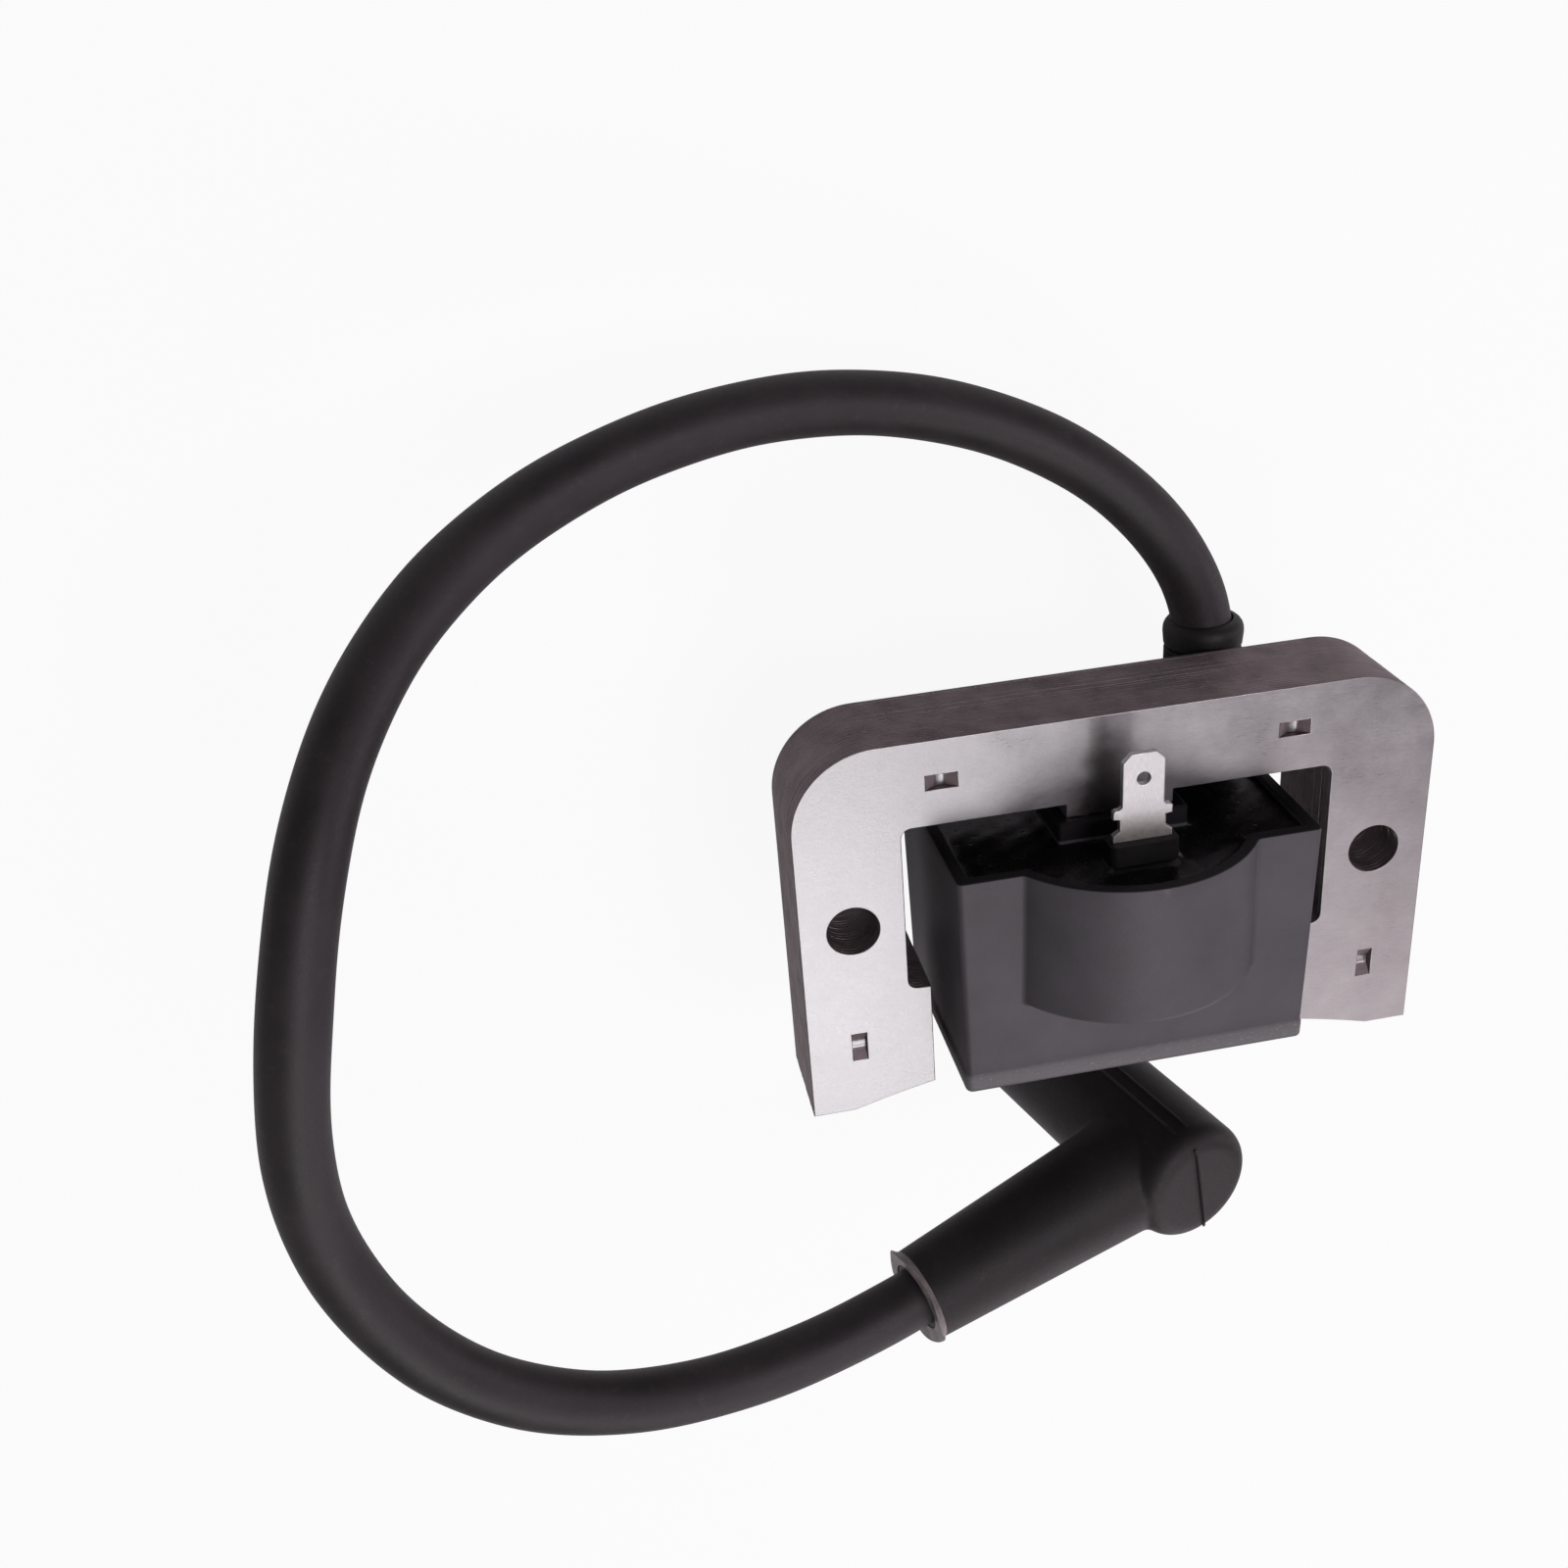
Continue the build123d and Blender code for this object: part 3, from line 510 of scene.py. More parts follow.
def mouth_flash():
    """Thin flash round the boot's mouth: pale, slightly pink, part see-through."""
    s = Shader("mouth_flash", Specular_IOR_Level=0.5, Transmission_Weight=0.35, IOR=1.45)
    blotch = s.noise(0.5, 4)
    s.set("Base Color", s.ramp(blotch, [(0.3, (0.20, 0.165, 0.16)), (0.7, (0.52, 0.46, 0.45))]))
    s.set("Roughness", s.remap(s.noise(3, 3), 0.3, 0.7, 0.3, 0.5))
    s.height(s.noise(2.4, 4, 0.7), 0.08, 0.7)
    return s.material


def tinned_brass():
    """Dull tin over brass, with brushed lines, yellow showing near the foot, and painted shade darkening the blade
    toward its foot.
    """
    s = Shader("tinned_brass", Metallic=1.0)
    lines = s.noise(1.0, 4, 0.7, s.stretched((10, 1.2, 10)))
    spots = s.noise(1.6, 4, 0.7)
    tin = s.ramp(lines, [(0.3, (0.50, 0.49, 0.495)), (0.7, (0.68, 0.67, 0.675))])
    low = s.remap(s.axis("Y"), TAB_SHOULDER_Y + 0.2, TAB_FOOT_Y + 3.5, 0, 1)
    stain = s.math("MULTIPLY", low, s.remap(spots, 0.38, 0.6, 0, 1))
    stained = s.mix(stain, tin, (0.46, 0.41, 0.30))
    # painted shade: the blade is darkened toward its foot
    s.set("Base Color", s.mix(s.math("MULTIPLY", low, 0.6), stained, (0.28, 0.265, 0.26)))
    s.set("Roughness", s.remap(spots, 0.3, 0.7, 0.3, 0.5))
    s.height(s.math("ADD", lines, spots), 0.015, 0.8)
    return s.material


def moulded_nylon(name, dark, light, roughness=0.5, specular=0.4):
    """Plain moulded nylon with flow marks and a fine surface."""
    s = Shader(name, Specular_IOR_Level=specular)
    s.set("Base Color", s.ramp(s.noise(0.3, 4), [(0.3, dark), (0.7, light)]))
    fine = s.noise(5, 3)
    s.set("Roughness", s.remap(fine, 0.3, 0.7, roughness - 0.06, roughness + 0.08))
    s.height(fine, 0.02, 0.5)
    return s.material


# a wave texture at scale 1 has about this many bands per millimetre
WAVE_UNIT = 3.2


def wound_copper(name, dark, light, turn):
    """Enamelled copper wire lying side by side, one ridge per turn."""
    s = Shader(name, Metallic=1.0, Coat_Weight=0.6, Coat_Roughness=0.12)
    inputs = {"Vector": s.coords, "Scale": 1 / turn / WAVE_UNIT, "Distortion": 0.6}
    wave = s.node("ShaderNodeTexWave", inputs, bands_direction="Y")
    s.set("Base Color", s.ramp(s.noise(0.9, 4), [(0.3, dark), (0.7, light)]))
    s.set("Roughness", s.remap(s.noise(4, 2), 0.3, 0.7, 0.2, 0.38))
    s.height(wave.outputs["Fac"], turn / 2, 0.9)
    return s.material


def worked_metal(name, dark, light, roughness=0.32, stretch=(1, 8, 1)):
    """Drawn or turned metal with tool lines and light tarnish."""
    s = Shader(name, Metallic=1.0)
    lines = s.noise(1.0, 4, 0.7, s.stretched(stretch))
    tarnish = s.noise(0.5, 4)
    tone = s.math("ADD", s.math("MULTIPLY", lines, 0.4), s.math("MULTIPLY", tarnish, 0.6))
    s.set("Base Color", s.ramp(tone, [(0.35, dark), (0.65, light)]))
    s.set("Roughness", s.remap(tarnish, 0.3, 0.7, roughness - 0.06, roughness + 0.12))
    s.height(lines, 0.012, 0.8)
    return s.material


def board_laminate():
    """Glass-epoxy board: green lacquer over a faint weave."""
    s = Shader("board_laminate", Specular_IOR_Level=0.5, Coat_Weight=0.4, Coat_Roughness=0.15)
    across = s.node("ShaderNodeTexWave", {"Vector": s.coords, "Scale": 1.1})
    up = s.node("ShaderNodeTexWave", {"Vector": s.coords, "Scale": 1.1}, bands_direction="Y")
    weave = s.math("MULTIPLY", across.outputs["Fac"], up.outputs["Fac"])
    s.set("Base Color", s.ramp(weave, [(0.0, (0.012, 0.075, 0.03)), (1.0, (0.03, 0.15, 0.06))]))
    s.set("Roughness", s.remap(s.noise(3, 3), 0.3, 0.7, 0.28, 0.42))
    s.height(weave, 0.03, 0.6)
    return s.material


def dipped_coating(name, dark, light):
    """Dipped component coating: uneven lacquer with runs."""
    s = Shader(name, Specular_IOR_Level=0.5, Coat_Weight=0.7, Coat_Roughness=0.1)
    s.set("Base Color", s.ramp(s.noise(0.8, 4), [(0.3, dark), (0.7, light)]))
    s.set("Roughness", s.remap(s.noise(2, 3), 0.3, 0.7, 0.25, 0.4))
    s.height(s.noise(0.9, 3), 0.08, 0.6)
    return s.material


STEEL_FACE = rolled_steel("steel_face", (0.43, 0.42, 0.425), (0.26, 0.25, 0.255), 0.32)
STEEL_EDGE = sheared_edge("steel_edge")
HOUSING = housing_plastic()
EPOXY = potting_epoxy()
LEAD_RUBBER = black_rubber("lead_rubber", (0.016, 0.0135, 0.015), (0.031, 0.0265, 0.029))
BOOT_RUBBER = black_rubber("boot_rubber", (0.012, 0.0105, 0.0115), (0.024, 0.021, 0.0225), 0.05, 0.3)
GROMMET_RUBBER = black_rubber("grommet_rubber", (0.006, 0.006, 0.006), (0.014, 0.013, 0.013))


def dress(obj, *materials):
    """Gives an object its material slots."""
    obj.data.materials.clear()
    for material in materials:
        obj.data.materials.append(material)


def finish_piece(obj, body=None, nodes=()):
    """Puts a finished piece on its body, and hides the CAD nodes it stands for."""
    if body:
        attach(obj, body)
    if nodes:
        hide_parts(*nodes)


# ------------------------------------ laminated core


def lamination_outline():
    """The E shape of one sheet as one closed loop, counter-clockwise from the left shoe."""
    half, top, tip = CORE_HALF_WIDTH, CORE_TOP_Y, POLE_TIP_Y
    flat_x = math.sqrt(FLYWHEEL_R**2 - (tip - FLYWHEEL_CENTRE_Y) ** 2)

    def pole(x_from, x_to, steps=8):
        xs = [x_from + (x_to - x_from) * i / steps for i in range(steps + 1)]
        return [(x, FLYWHEEL_CENTRE_Y + math.sqrt(FLYWHEEL_R**2 - x**2)) for x in xs]

    inner, r, leg = WINDOW_HALF_WIDTH, WINDOW_CORNER_R, CENTRE_LEG_HALF
    window_right = [(SHOE_INNER_X, SHOULDER_Y)]
    window_right += arc((inner - r, SHOULDER_Y + r), r, -90, 0, 5)
    window_right += arc((inner - r, WINDOW_TOP_Y - r), r, 0, 90, 5)
    window_right += [(leg, WINDOW_TOP_Y)]
    window_left = [(-x, y) for x, y in window_right]
    loop = [(-half, tip)] + pole(-flat_x, -SHOE_INNER_X) + window_left
    loop += pole(-leg, leg) + window_right[::-1] + pole(SHOE_INNER_X, flat_x) + [(half, tip)]
    corner = CORE_CORNER_R
    loop += arc((half - corner, top - corner), corner, 0, 90, 28)
    loop += arc((-half + corner, top - corner), corner, 90, 180, 28)
    return loop


def sheet_holes():
    """Round fixing holes of one sheet."""
    return [arc((side * HOLE_X, 0), HOLE_R, 0, 360, 56)[:-1] for side in (-1, 1)]


def dent_loop(x, y, turn):
    """The rectangular cut of an interlock."""
    half_l, half_w = DENT_LENGTH / 2, DENT_WIDTH / 2
    corners = [(-half_l, -half_w), (half_l, -half_w), (half_l, half_w), (-half_l, half_w)]
    c, s = math.cos(math.radians(turn)), math.sin(math.radians(turn))
    return [(x + a * c - b * s, y + a * s + b * c) for a, b in corners]


def dent_strip(x, y, turn):
    """The strip of an interlock, bent down into a shallow V with a short flat bottom."""
    depth, thick, gap, steps = 0.9, 0.5, 0.06, 12
    steepness = 1.35
    half_l, half_w = DENT_LENGTH / 2, DENT_WIDTH / 2 - gap
    c, s = math.cos(math.radians(turn)), math.sin(math.radians(turn))
    rings = []
    for i in range(steps + 1):
        along = -half_l + DENT_LENGTH * i / steps
        drop = depth * min(1.0, (1 - abs(along) / half_l) * steepness)
        top = CORE_THICK - gap / 2 - drop
        section = ((-half_w, top), (half_w, top), (half_w, top - thick), (-half_w, top - thick))
        ring = []
        for across, z in section:
            ring.append((x + along * c - across * s, y + along * s + across * c, z))
        rings.append(ring)
    return clean(ring_mesh("dent_strip", rings), 30)


def mark_faces(obj):
    """Second material slot on every face that isn't one of the sheet's two flat faces."""
    for face in obj.data.polygons:
        face.material_index = 0 if abs(face.normal.z) > 0.9 else 1


def build_core():
    """Every sheet is its own shell; the front ones have interlocks pressed into them."""
    rng = random.Random(SEED)
    outline = lamination_outline()
    dents = [dent_loop(*place) for place in DENT_PLACES]
    last = SHEET_COUNT - 1
    sheets = []
    for index in range(SHEET_COUNT):
        low = index * SHEET_PITCH + (SHEET_GAP / 2 if index else 0)
        high = (index + 1) * SHEET_PITCH - (SHEET_GAP / 2 if index < last else 0)
        holes = sheet_holes() + (dents if index > last - DENTED_SHEETS else [])
        edge_r = FRONT_EDGE_R if index == last else SHEET_EDGE_R
        sheet = plate("sheet", outline, holes, low, high, edge_r)
        shift = 0 if index in (0, last) else SHEET_SHIFT
        slide = (rng.uniform(-shift, shift) * MM, rng.uniform(-shift, shift * 0.4) * MM, 0)
        sheet.data.transform(Matrix.Translation(slide))
        sheets.append(sheet)
    strips = [dent_strip(*place) for place in DENT_PLACES]
    front = join([sheets[last]] + strips, "front_lamination")
    inner = join(sheets[1:last], "inner_laminations")
    rear = sheets[0]
    rear.name = "rear_lamination"
    pieces = (
        (front, "core_front_sheet", "electrical_steel_face"),
        (inner, "core_stack", "electrical_steel_edge"),
        (rear, "core_rear_sheet", "electrical_steel_rear"),
    )
    for obj, node, slot_name in pieces:
        dress(obj, STEEL_FACE, STEEL_EDGE)
        mark_faces(obj)
        finish_piece(obj, "module", [node])


# ------------------------------------ housing and potting


def rounded_box(u, v, half_u, half_v, radius):
    """Signed distance to a rectangle with rounded corners."""
    qu = np.abs(u) - half_u + radius
    qv = np.abs(v) - half_v + radius
    outside = np.hypot(np.maximum(qu, 0), np.maximum(qv, 0))
    return outside + np.minimum(np.maximum(qu, qv), 0) - radius


def smooth_union(a, b, size):
    """The smaller of two distances, blended where they are close."""
    h = np.clip(0.5 + 0.5 * (b - a) / size, 0, 1)
    return b * (1 - h) + a * h - size * h * (1 - h)


def housing_distance(x, y, z):
    """Signed distance to the housing's outer form; z is measured from its middle."""
    shrink = (HOUSING_RIM_Y - y) * HOUSING_DRAFT
    edge = 0.7
    block = rounded_box(x, z, HOUSING_HALF_WIDTH - shrink, HOUSING_HALF_DEPTH - shrink, edge)
    across = np.hypot(x, np.maximum(np.abs(z) - BULGE_OFFSET, 0)) - BULGE_R + edge
    below = BULGE_END_Y - y + edge
    bulge = np.hypot(np.maximum(across, 0), max(below, 0))
    bulge = bulge + np.minimum(np.maximum(across, below), 0) - edge
    return smooth_union(block, bulge, 0.4)


def ray_angles():
    """Angles at which outlines are sampled, closer together at corners and bulge sides."""
    corner = math.degrees(math.atan2(HOUSING_HALF_DEPTH, HOUSING_HALF_WIDTH))
    bulge_side = math.degrees(math.atan2(HOUSING_HALF_DEPTH, BULGE_SIDE_X))
    sleeve_corner = 45
    angles = set(np.round(np.arange(0, 360, 1.5), 3))
    dense = ((corner, 2.7, 0.3), (bulge_side, 4.0, 0.5), (sleeve_corner, 1.2, 0.3))
    for centre, reach, step in dense:
        near = np.arange(-reach, reach + 0.01, step)
        for base in (centre, 180 - centre, 180 + centre, 360 - centre):
            angles.update(np.round(base + near, 3))
    return np.radians(np.array(sorted(angles)))


ANGLES = ray_angles()


def outline_at(distance, y):
    """Points where rays from the middle axis meet a form whose signed distance is given."""
    low = np.full(len(ANGLES), 1.0)
    high = np.full(len(ANGLES), 45.0)
    for _ in range(34):
        middle = (low + high) / 2
        outside = distance(middle * np.cos(ANGLES), y, middle * np.sin(ANGLES)) > 0
        high = np.where(outside, middle, high)
        low = np.where(outside, low, middle)
    return np.stack([low * np.cos(ANGLES), low * np.sin(ANGLES)], 1)


def housing_ring(y, inset):
    """The housing's outline at a height, moved inward by an inset."""
    flat = outline_at(lambda x, h, z: housing_distance(x, h, z) + inset, y)
    return [(x, y, MID_Z + z) for x, z in flat]


def square_ring(y, half, radius=0.4):
    """A square outline about the centre leg."""
    flat = outline_at(lambda x, h, z: rounded_box(x, z, half, half, radius), y)
    return [(x, y, MID_Z + z) for x, z in flat]


def quarter(steps=4):
    """Sine and cosine pairs through a quarter turn."""
    turns = [math.pi / 2 * i / steps for i in range(steps + 1)]
    return [(math.sin(a), math.cos(a)) for a in turns]


def housing_heights():
    """Heights of the outer rings above the foot, closest together where the bulge ends."""
    low, high = HOUSING_FLOOR_Y + FOOT_HEIGHT, HOUSING_RIM_Y
    heights = list(np.arange(low + 2, BULGE_END_Y - 1.6, 1.3))
    heights += list(np.arange(BULGE_END_Y - 1.5, BULGE_END_Y + 1.5, 0.16))
    heights += list(np.arange(BULGE_END_Y + 2.5, high - 1, 1.5))
    return [float(y) for y in heights]


def build_housing():
    """One shell from rings: outside up, over the rim, inside down, round the sleeve."""
    floor, rim, wall = HOUSING_FLOOR_Y, HOUSING_RIM_Y, HOUSING_WALL
    edge, rim_round = 0.45, 0.25
    outside = [(floor + edge * (1 - c), edge * (1 - s) - FOOT_LIP) for s, c in quarter()]
    outside += [(floor + FOOT_HEIGHT, -FOOT_LIP), (floor + FOOT_HEIGHT + 0.35, 0.0)]
    outside += [(y, 0.0) for y in housing_heights()]
    over = [(rim - rim_round * (1 - s), rim_round * (1 - c)) for s, c in quarter(3)]
    over += [(rim - rim_round * (1 - c), wall - rim_round * (1 - s)) for s, c in quarter(3)]
    inside_end = BULGE_END_Y + wall
    inside = [(y, wall) for y in (6.0, 0.0, -6.0, inside_end + 0.8, inside_end - 0.8, floor + wall)]
    rings = [housing_ring(y, inset) for y, inset in outside + over + inside]
    sleeve = [(y, SLEEVE_HALF) for y in (floor + wall, 0.0, SLEEVE_TOP_Y - 0.25)]
    sleeve += [(SLEEVE_TOP_Y, SLEEVE_HALF - 0.25), (SLEEVE_TOP_Y, SLEEVE_BORE_HALF + 0.15)]
    sleeve += [(SLEEVE_TOP_Y - 0.15, SLEEVE_BORE_HALF), (floor + 0.3, SLEEVE_BORE_HALF)]
    sleeve += [(floor, SLEEVE_BORE_HALF + 0.3)]
    rings += [square_ring(y, half) for y, half in sleeve]
    shell = clean(ring_mesh("housing_shell", rings, closed=True), 30)
    combine(shell, clean(build_tower(), 40), "UNION")
    clean(shell, 30)
    dress(shell, HOUSING)
    finish_piece(shell, "module", ["coil_housing"])


def build_tower():
    """The tower that holds the lead: a tube with a closed foot and rounded mouth."""
    bore = LEAD_R + 0.05
    pin_r = 1.15
    profile = [
        (pin_r, TOWER_FOOT_Y),
        (TOWER_R - 0.5, TOWER_FOOT_Y),
        (TOWER_R, TOWER_FOOT_Y + 0.5),
        (TOWER_R, 12.0),
        (TOWER_R - 0.06, TOWER_TOP_Y - 0.3),
        (TOWER_R - 0.3, TOWER_TOP_Y),
        (bore + 0.2, TOWER_TOP_Y),
        (bore, TOWER_TOP_Y - 0.2),
        (bore, LEAD_ROOT_Y),
        (pin_r, LEAD_ROOT_Y),
    ]
    return revolved("tower", profile, TOWER, (0, 1, 0))


def potting_height(x, z):
    """The cured surface: slightly wavy, and drawn up against walls, sleeve, post and tower."""
    to_wall = -(housing_distance(x, HOUSING_RIM_Y, z) + HOUSING_WALL)
    to_sleeve = rounded_box(x, z, SLEEVE_HALF, SLEEVE_HALF, 0.4)
    post_z = z - (TAB_Z - MID_Z)
    to_post = rounded_box(x, post_z, POST_HALF_WIDTH, POST_HALF_DEPTH, 0.8)
    to_tower = np.hypot(x - TOWER.x, z + MID_Z - TOWER.z) - TOWER_R
    height = np.full_like(x, POTTING_TOP_Y - 0.35)
    height += 0.35 * np.exp(-np.maximum(to_wall, 0) / 0.45)
    for gap, rise, reach in ((to_sleeve, 0.4, 0.6), (to_tower, 0.35, 0.6), (to_post, 0.6, 0.6)):
        height += rise * np.exp(-np.maximum(gap, 0) / reach)
    height += 0.05 * np.sin(0.31 * x + 0.9) * np.cos(0.42 * z - 0.4)
    height += 0.02 * np.sin(1.1 * x + 1.7 * z)
    return height


def build_potting():
    """The epoxy that fills the tub, as one shell with a drawn-up surface."""
    overlap = 0.06
    inset, sleeve_half = HOUSING_WALL - overlap, SLEEVE_HALF - overlap
    outer = np.array(housing_ring(HOUSING_RIM_Y, inset))
    inner = np.array(square_ring(HOUSING_RIM_Y, sleeve_half))
    steps = 46
    rings = []
    for i in range(steps + 1):
        # rings lie closer together near the walls, where the surface is drawn up
        share = i / steps
        share -= 0.10 * math.sin(2 * math.pi * share)
        ring = outer * (1 - share) + inner * share
        ring[:, 1] = potting_height(ring[:, 0], ring[:, 2] - MID_Z)
        rings.append([tuple(p) for p in ring])
    bottom = HOUSING_FLOOR_Y + HOUSING_WALL + 0.02
    bulge_bottom = BULGE_END_Y + HOUSING_WALL
    rings.append(square_ring(bottom, sleeve_half))
    for y in (bottom, bulge_bottom - 0.8, bulge_bottom + 0.8, 0.0, 6.0):
        rings.append(housing_ring(y, inset))
    fill = clean(ring_mesh("potting_fill", rings, closed=True), 60)
    dress(fill, EPOXY)
    finish_piece(fill, "module", ["potting_compound"])


# ------------------------------------ kill terminal


def build_tab():
    """The blade: clipped tip, latch hole, staked ears at the shoulder."""
    half = TAB_WIDTH / 2
    wide = TAB_SHOULDER_WIDTH / 2
    waist = half + 0.25
    clip = 1.0
    ear_top = TAB_SHOULDER_Y + 0.55
    right = [
        (wide, TAB_FOOT_Y),
        (wide, TAB_SHOULDER_Y - 2.6),
        (waist, TAB_SHOULDER_Y - 2.1),
        (waist, TAB_SHOULDER_Y - 0.7),
        (wide, TAB_SHOULDER_Y - 0.6),
        (wide, ear_top - 0.25),
        (wide - 0.25, ear_top),
        (half + 0.3, ear_top),
        (half, ear_top + 0.3),
        (half, TAB_TOP_Y - clip),
        (half - clip, TAB_TOP_Y),
    ]
    outline = right + [(-x, y) for x, y in reversed(right)]
    hole = arc((0, TAB_HOLE_Y), TAB_HOLE_R, 0, 360, 32)[:-1]
    low, high = TAB_Z - TAB_THICK / 2, TAB_Z + TAB_THICK / 2
    blade = plate("kill_blade", outline, [hole], low, high, 0.12, 3)
    dress(blade, tinned_brass())
    finish_piece(blade, "module", ["kill_tab"])


# ------------------------------------ lead


def spline_sampler(points, start_tangent, end_tangent):
    """A clamped cubic through the points, with chord-length parameters and unit end slopes."""
    p = np.array(points, float)
    chords = np.linalg.norm(np.diff(p, axis=0), axis=1)
    t = np.concatenate([[0], np.cumsum(chords)])
    n = len(p)
    a = np.zeros((n, n))
    b = np.zeros((n, 3))
    a[0, 0] = a[-1, -1] = 1
    b[0], b[-1] = start_tangent, end_tangent
    for i in range(1, n - 1):
        left, right = t[i] - t[i - 1], t[i + 1] - t[i]
        a[i, i - 1 : i + 2] = right, 2 * (left + right), left
        b[i] = 3 * ((p[i] - p[i - 1]) / left * right + (p[i + 1] - p[i]) / right * left)
    slopes = np.linalg.solve(a, b)

    def sample(u):
        i = min(max(int(np.searchsorted(t, u)) - 1, 0), n - 2)
        h = t[i + 1] - t[i]
        s = (u - t[i]) / h
        value = (2 * s**3 - 3 * s**2 + 1) * p[i] + (s**3 - 2 * s**2 + s) * h * slopes[i]
        return value + (3 * s**2 - 2 * s**3) * p[i + 1] + (s**3 - s**2) * h * slopes[i + 1]

    return sample, t[-1]


def lead_path():
    """Evenly spaced centreline points from the tower's root to the lead's tip."""
    sample, total = spline_sampler(LEAD_POINTS, (0, 1, 0), tuple(LEAD_DIR))
    samples = 2400
    curve = [sample(total * i / samples) for i in range(samples + 1)]
    root = np.array((TOWER.x, LEAD_ROOT_Y + 0.1, TOWER.z))
    tip = np.array(ELBOW - LEAD_DIR * (LEAD_STOP + 0.1))
    points = np.array([root] + curve + [tip])
    length = np.concatenate([[0], np.cumsum(np.linalg.norm(np.diff(points, axis=0), axis=1))])
    even = np.arange(0, length[-1], PATH_STEP)
    even[-1] = length[-1]
    return np.stack([np.interp(even, length, points[:, k]) for k in range(3)], 1)


PATH = lead_path()


def path_index(point):
    """The index of the path point nearest to a place in millimetres."""
    return int(np.argmin(np.linalg.norm(PATH - np.array(point), axis=1)))


def jacket_length(name, first, last, sides=48):
    """The jacket between two path points, a little uneven, carried without twisting."""
    slopes = np.gradient(PATH, axis=0)
    slopes /= np.linalg.norm(slopes, axis=1)[:, None]
    side = np.array((0.0, 0.0, 1.0))
    frames = []
    for slope in slopes:
        side = side - slope * side.dot(slope)
        side /= np.linalg.norm(side)
        frames.append((side.copy(), np.cross(slope, side)))
    rings = []
    for i in range(first, last + 1):
        u, v = frames[i]
        radius = LEAD_R + 0.035 * math.sin(i * 0.11) + 0.02 * math.sin(i * 0.37 + 1)
        ring = []
        for k in range(sides):
            a = 2 * math.pi * k / sides
            out = u * math.cos(a) + v * math.sin(a)
            ring.append(tuple(PATH[i] + out * radius))
        rings.append(ring)
    return ring_mesh(name, rings)


def build_lead():
    """The jacket in three lengths, each of which spans one of the lead's joints."""
    joints = ("root_flex", "mid_flex", "end_flex")
    bends = [path_index(Vector(joint_by_name[name]["pos_m"]) / MM) for name in joints]
    cuts = [0, (bends[0] + bends[1]) // 2, (bends[1] + bends[2]) // 2, len(PATH) - 1]
    names = ("lead_from_tower", "lead_loop", "lead_to_boot")
    nodes = (["lead_root", "lead_upper"], ["lead_lower"], ["lead_end"])
    for i, (bend, reach) in enumerate(zip(bends, BEND_REACH)):
        jacket = clean(jacket_length(names[i], cuts[i], cuts[i + 1]), 50)
        dress(jacket, LEAD_RUBBER)
        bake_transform(jacket)
        finish_piece(jacket, None, nodes[i])


def build_grommet():
    """The seal at the tower's mouth: a soft collar with a rolled shoulder."""
    gap = 0.02
    inner, outer = LEAD_R + gap, TOWER_R
    low, top = TOWER_TOP_Y + gap, GROMMET_TOP_Y
    roll_r, roll_height = 1.27, 1.45
    profile = [(inner, low), (outer - 0.5, low), (outer, TOWER_TOP_Y + 0.5), (outer + 0.12, top - 1.8)]
    for s, c in quarter(6):
        profile.append((outer + 0.12 - roll_r * (1 - c), top - roll_height * (1 - s)))
    profile.append((inner, top - 0.15))
    collar = clean(revolved("lead_collar", profile, TOWER, (0, 1, 0)), 40)
    dress(collar, GROMMET_RUBBER)
    finish_piece(collar, "module", ["lead_grommet"])


# ------------------------------------ spark plug boot


def boot_bar(name, direction, profile, segments=96):
    """A round solid about one of the boot's two axes, with heights from the elbow."""
    return revolved(name, profile, ELBOW, direction, segments, closed=False)


def boot_body():
    """Tube and barrel run together at the elbow, then softened as one moulding."""
    flat_r = BARREL_R - CAP_ROUND
    cap = [(flat_r + CAP_ROUND * s, CAP_ROUND * (1 - c) - CAP_LENGTH) for s, c in quarter(8)]
    barrel = boot_bar("barrel", SOCKET_DIR, cap + [(BARREL_R, BARREL_LENGTH)])
    tube = boot_bar("tube", LEAD_DIR, [(TUBE_MOUTH_R, -TUBE_LENGTH), (TUBE_ELBOW_R, 0.5)])
    body = join([barrel, tube], "plug_boot_body")
    remesh = body.modifiers.new("remesh", "REMESH")
    remesh.mode = "VOXEL"
    remesh.voxel_size = 0.34 * MM
    smooth = body.modifiers.new("smooth", "SMOOTH")
    smooth.factor = 0.5
    smooth.iterations = 6
    return bake(body)


def cut_boot_bores(body):
    """Bores for the lead, the contact, the clip's stem, the clip and the plug."""
    clear, past = 0.08, 2.0
    contact_r, stem_r = 1.18, 1.6
    socket_top = BARREL_LENGTH - SOCKET_DEPTH
    clip_top = socket_top - CLIP_DEPTH
    bores = (
        (LEAD_DIR, LEAD_R + clear, -TUBE_LENGTH - past, -LEAD_STOP + clear),
        (LEAD_DIR, contact_r, -LEAD_STOP - past, 0),
        (SOCKET_DIR, SOCKET_R, socket_top, BARREL_LENGTH + past),
        (SOCKET_DIR, CLIP_R, clip_top, socket_top + past),
        (SOCKET_DIR, stem_r, -1.5, clip_top + past),
    )
    for direction, radius, start, end in bores:
        bore = boot_bar("bore", direction, [(radius, start), (radius, end)], 72)
        combine(body, bore, "DIFFERENCE")
    return body


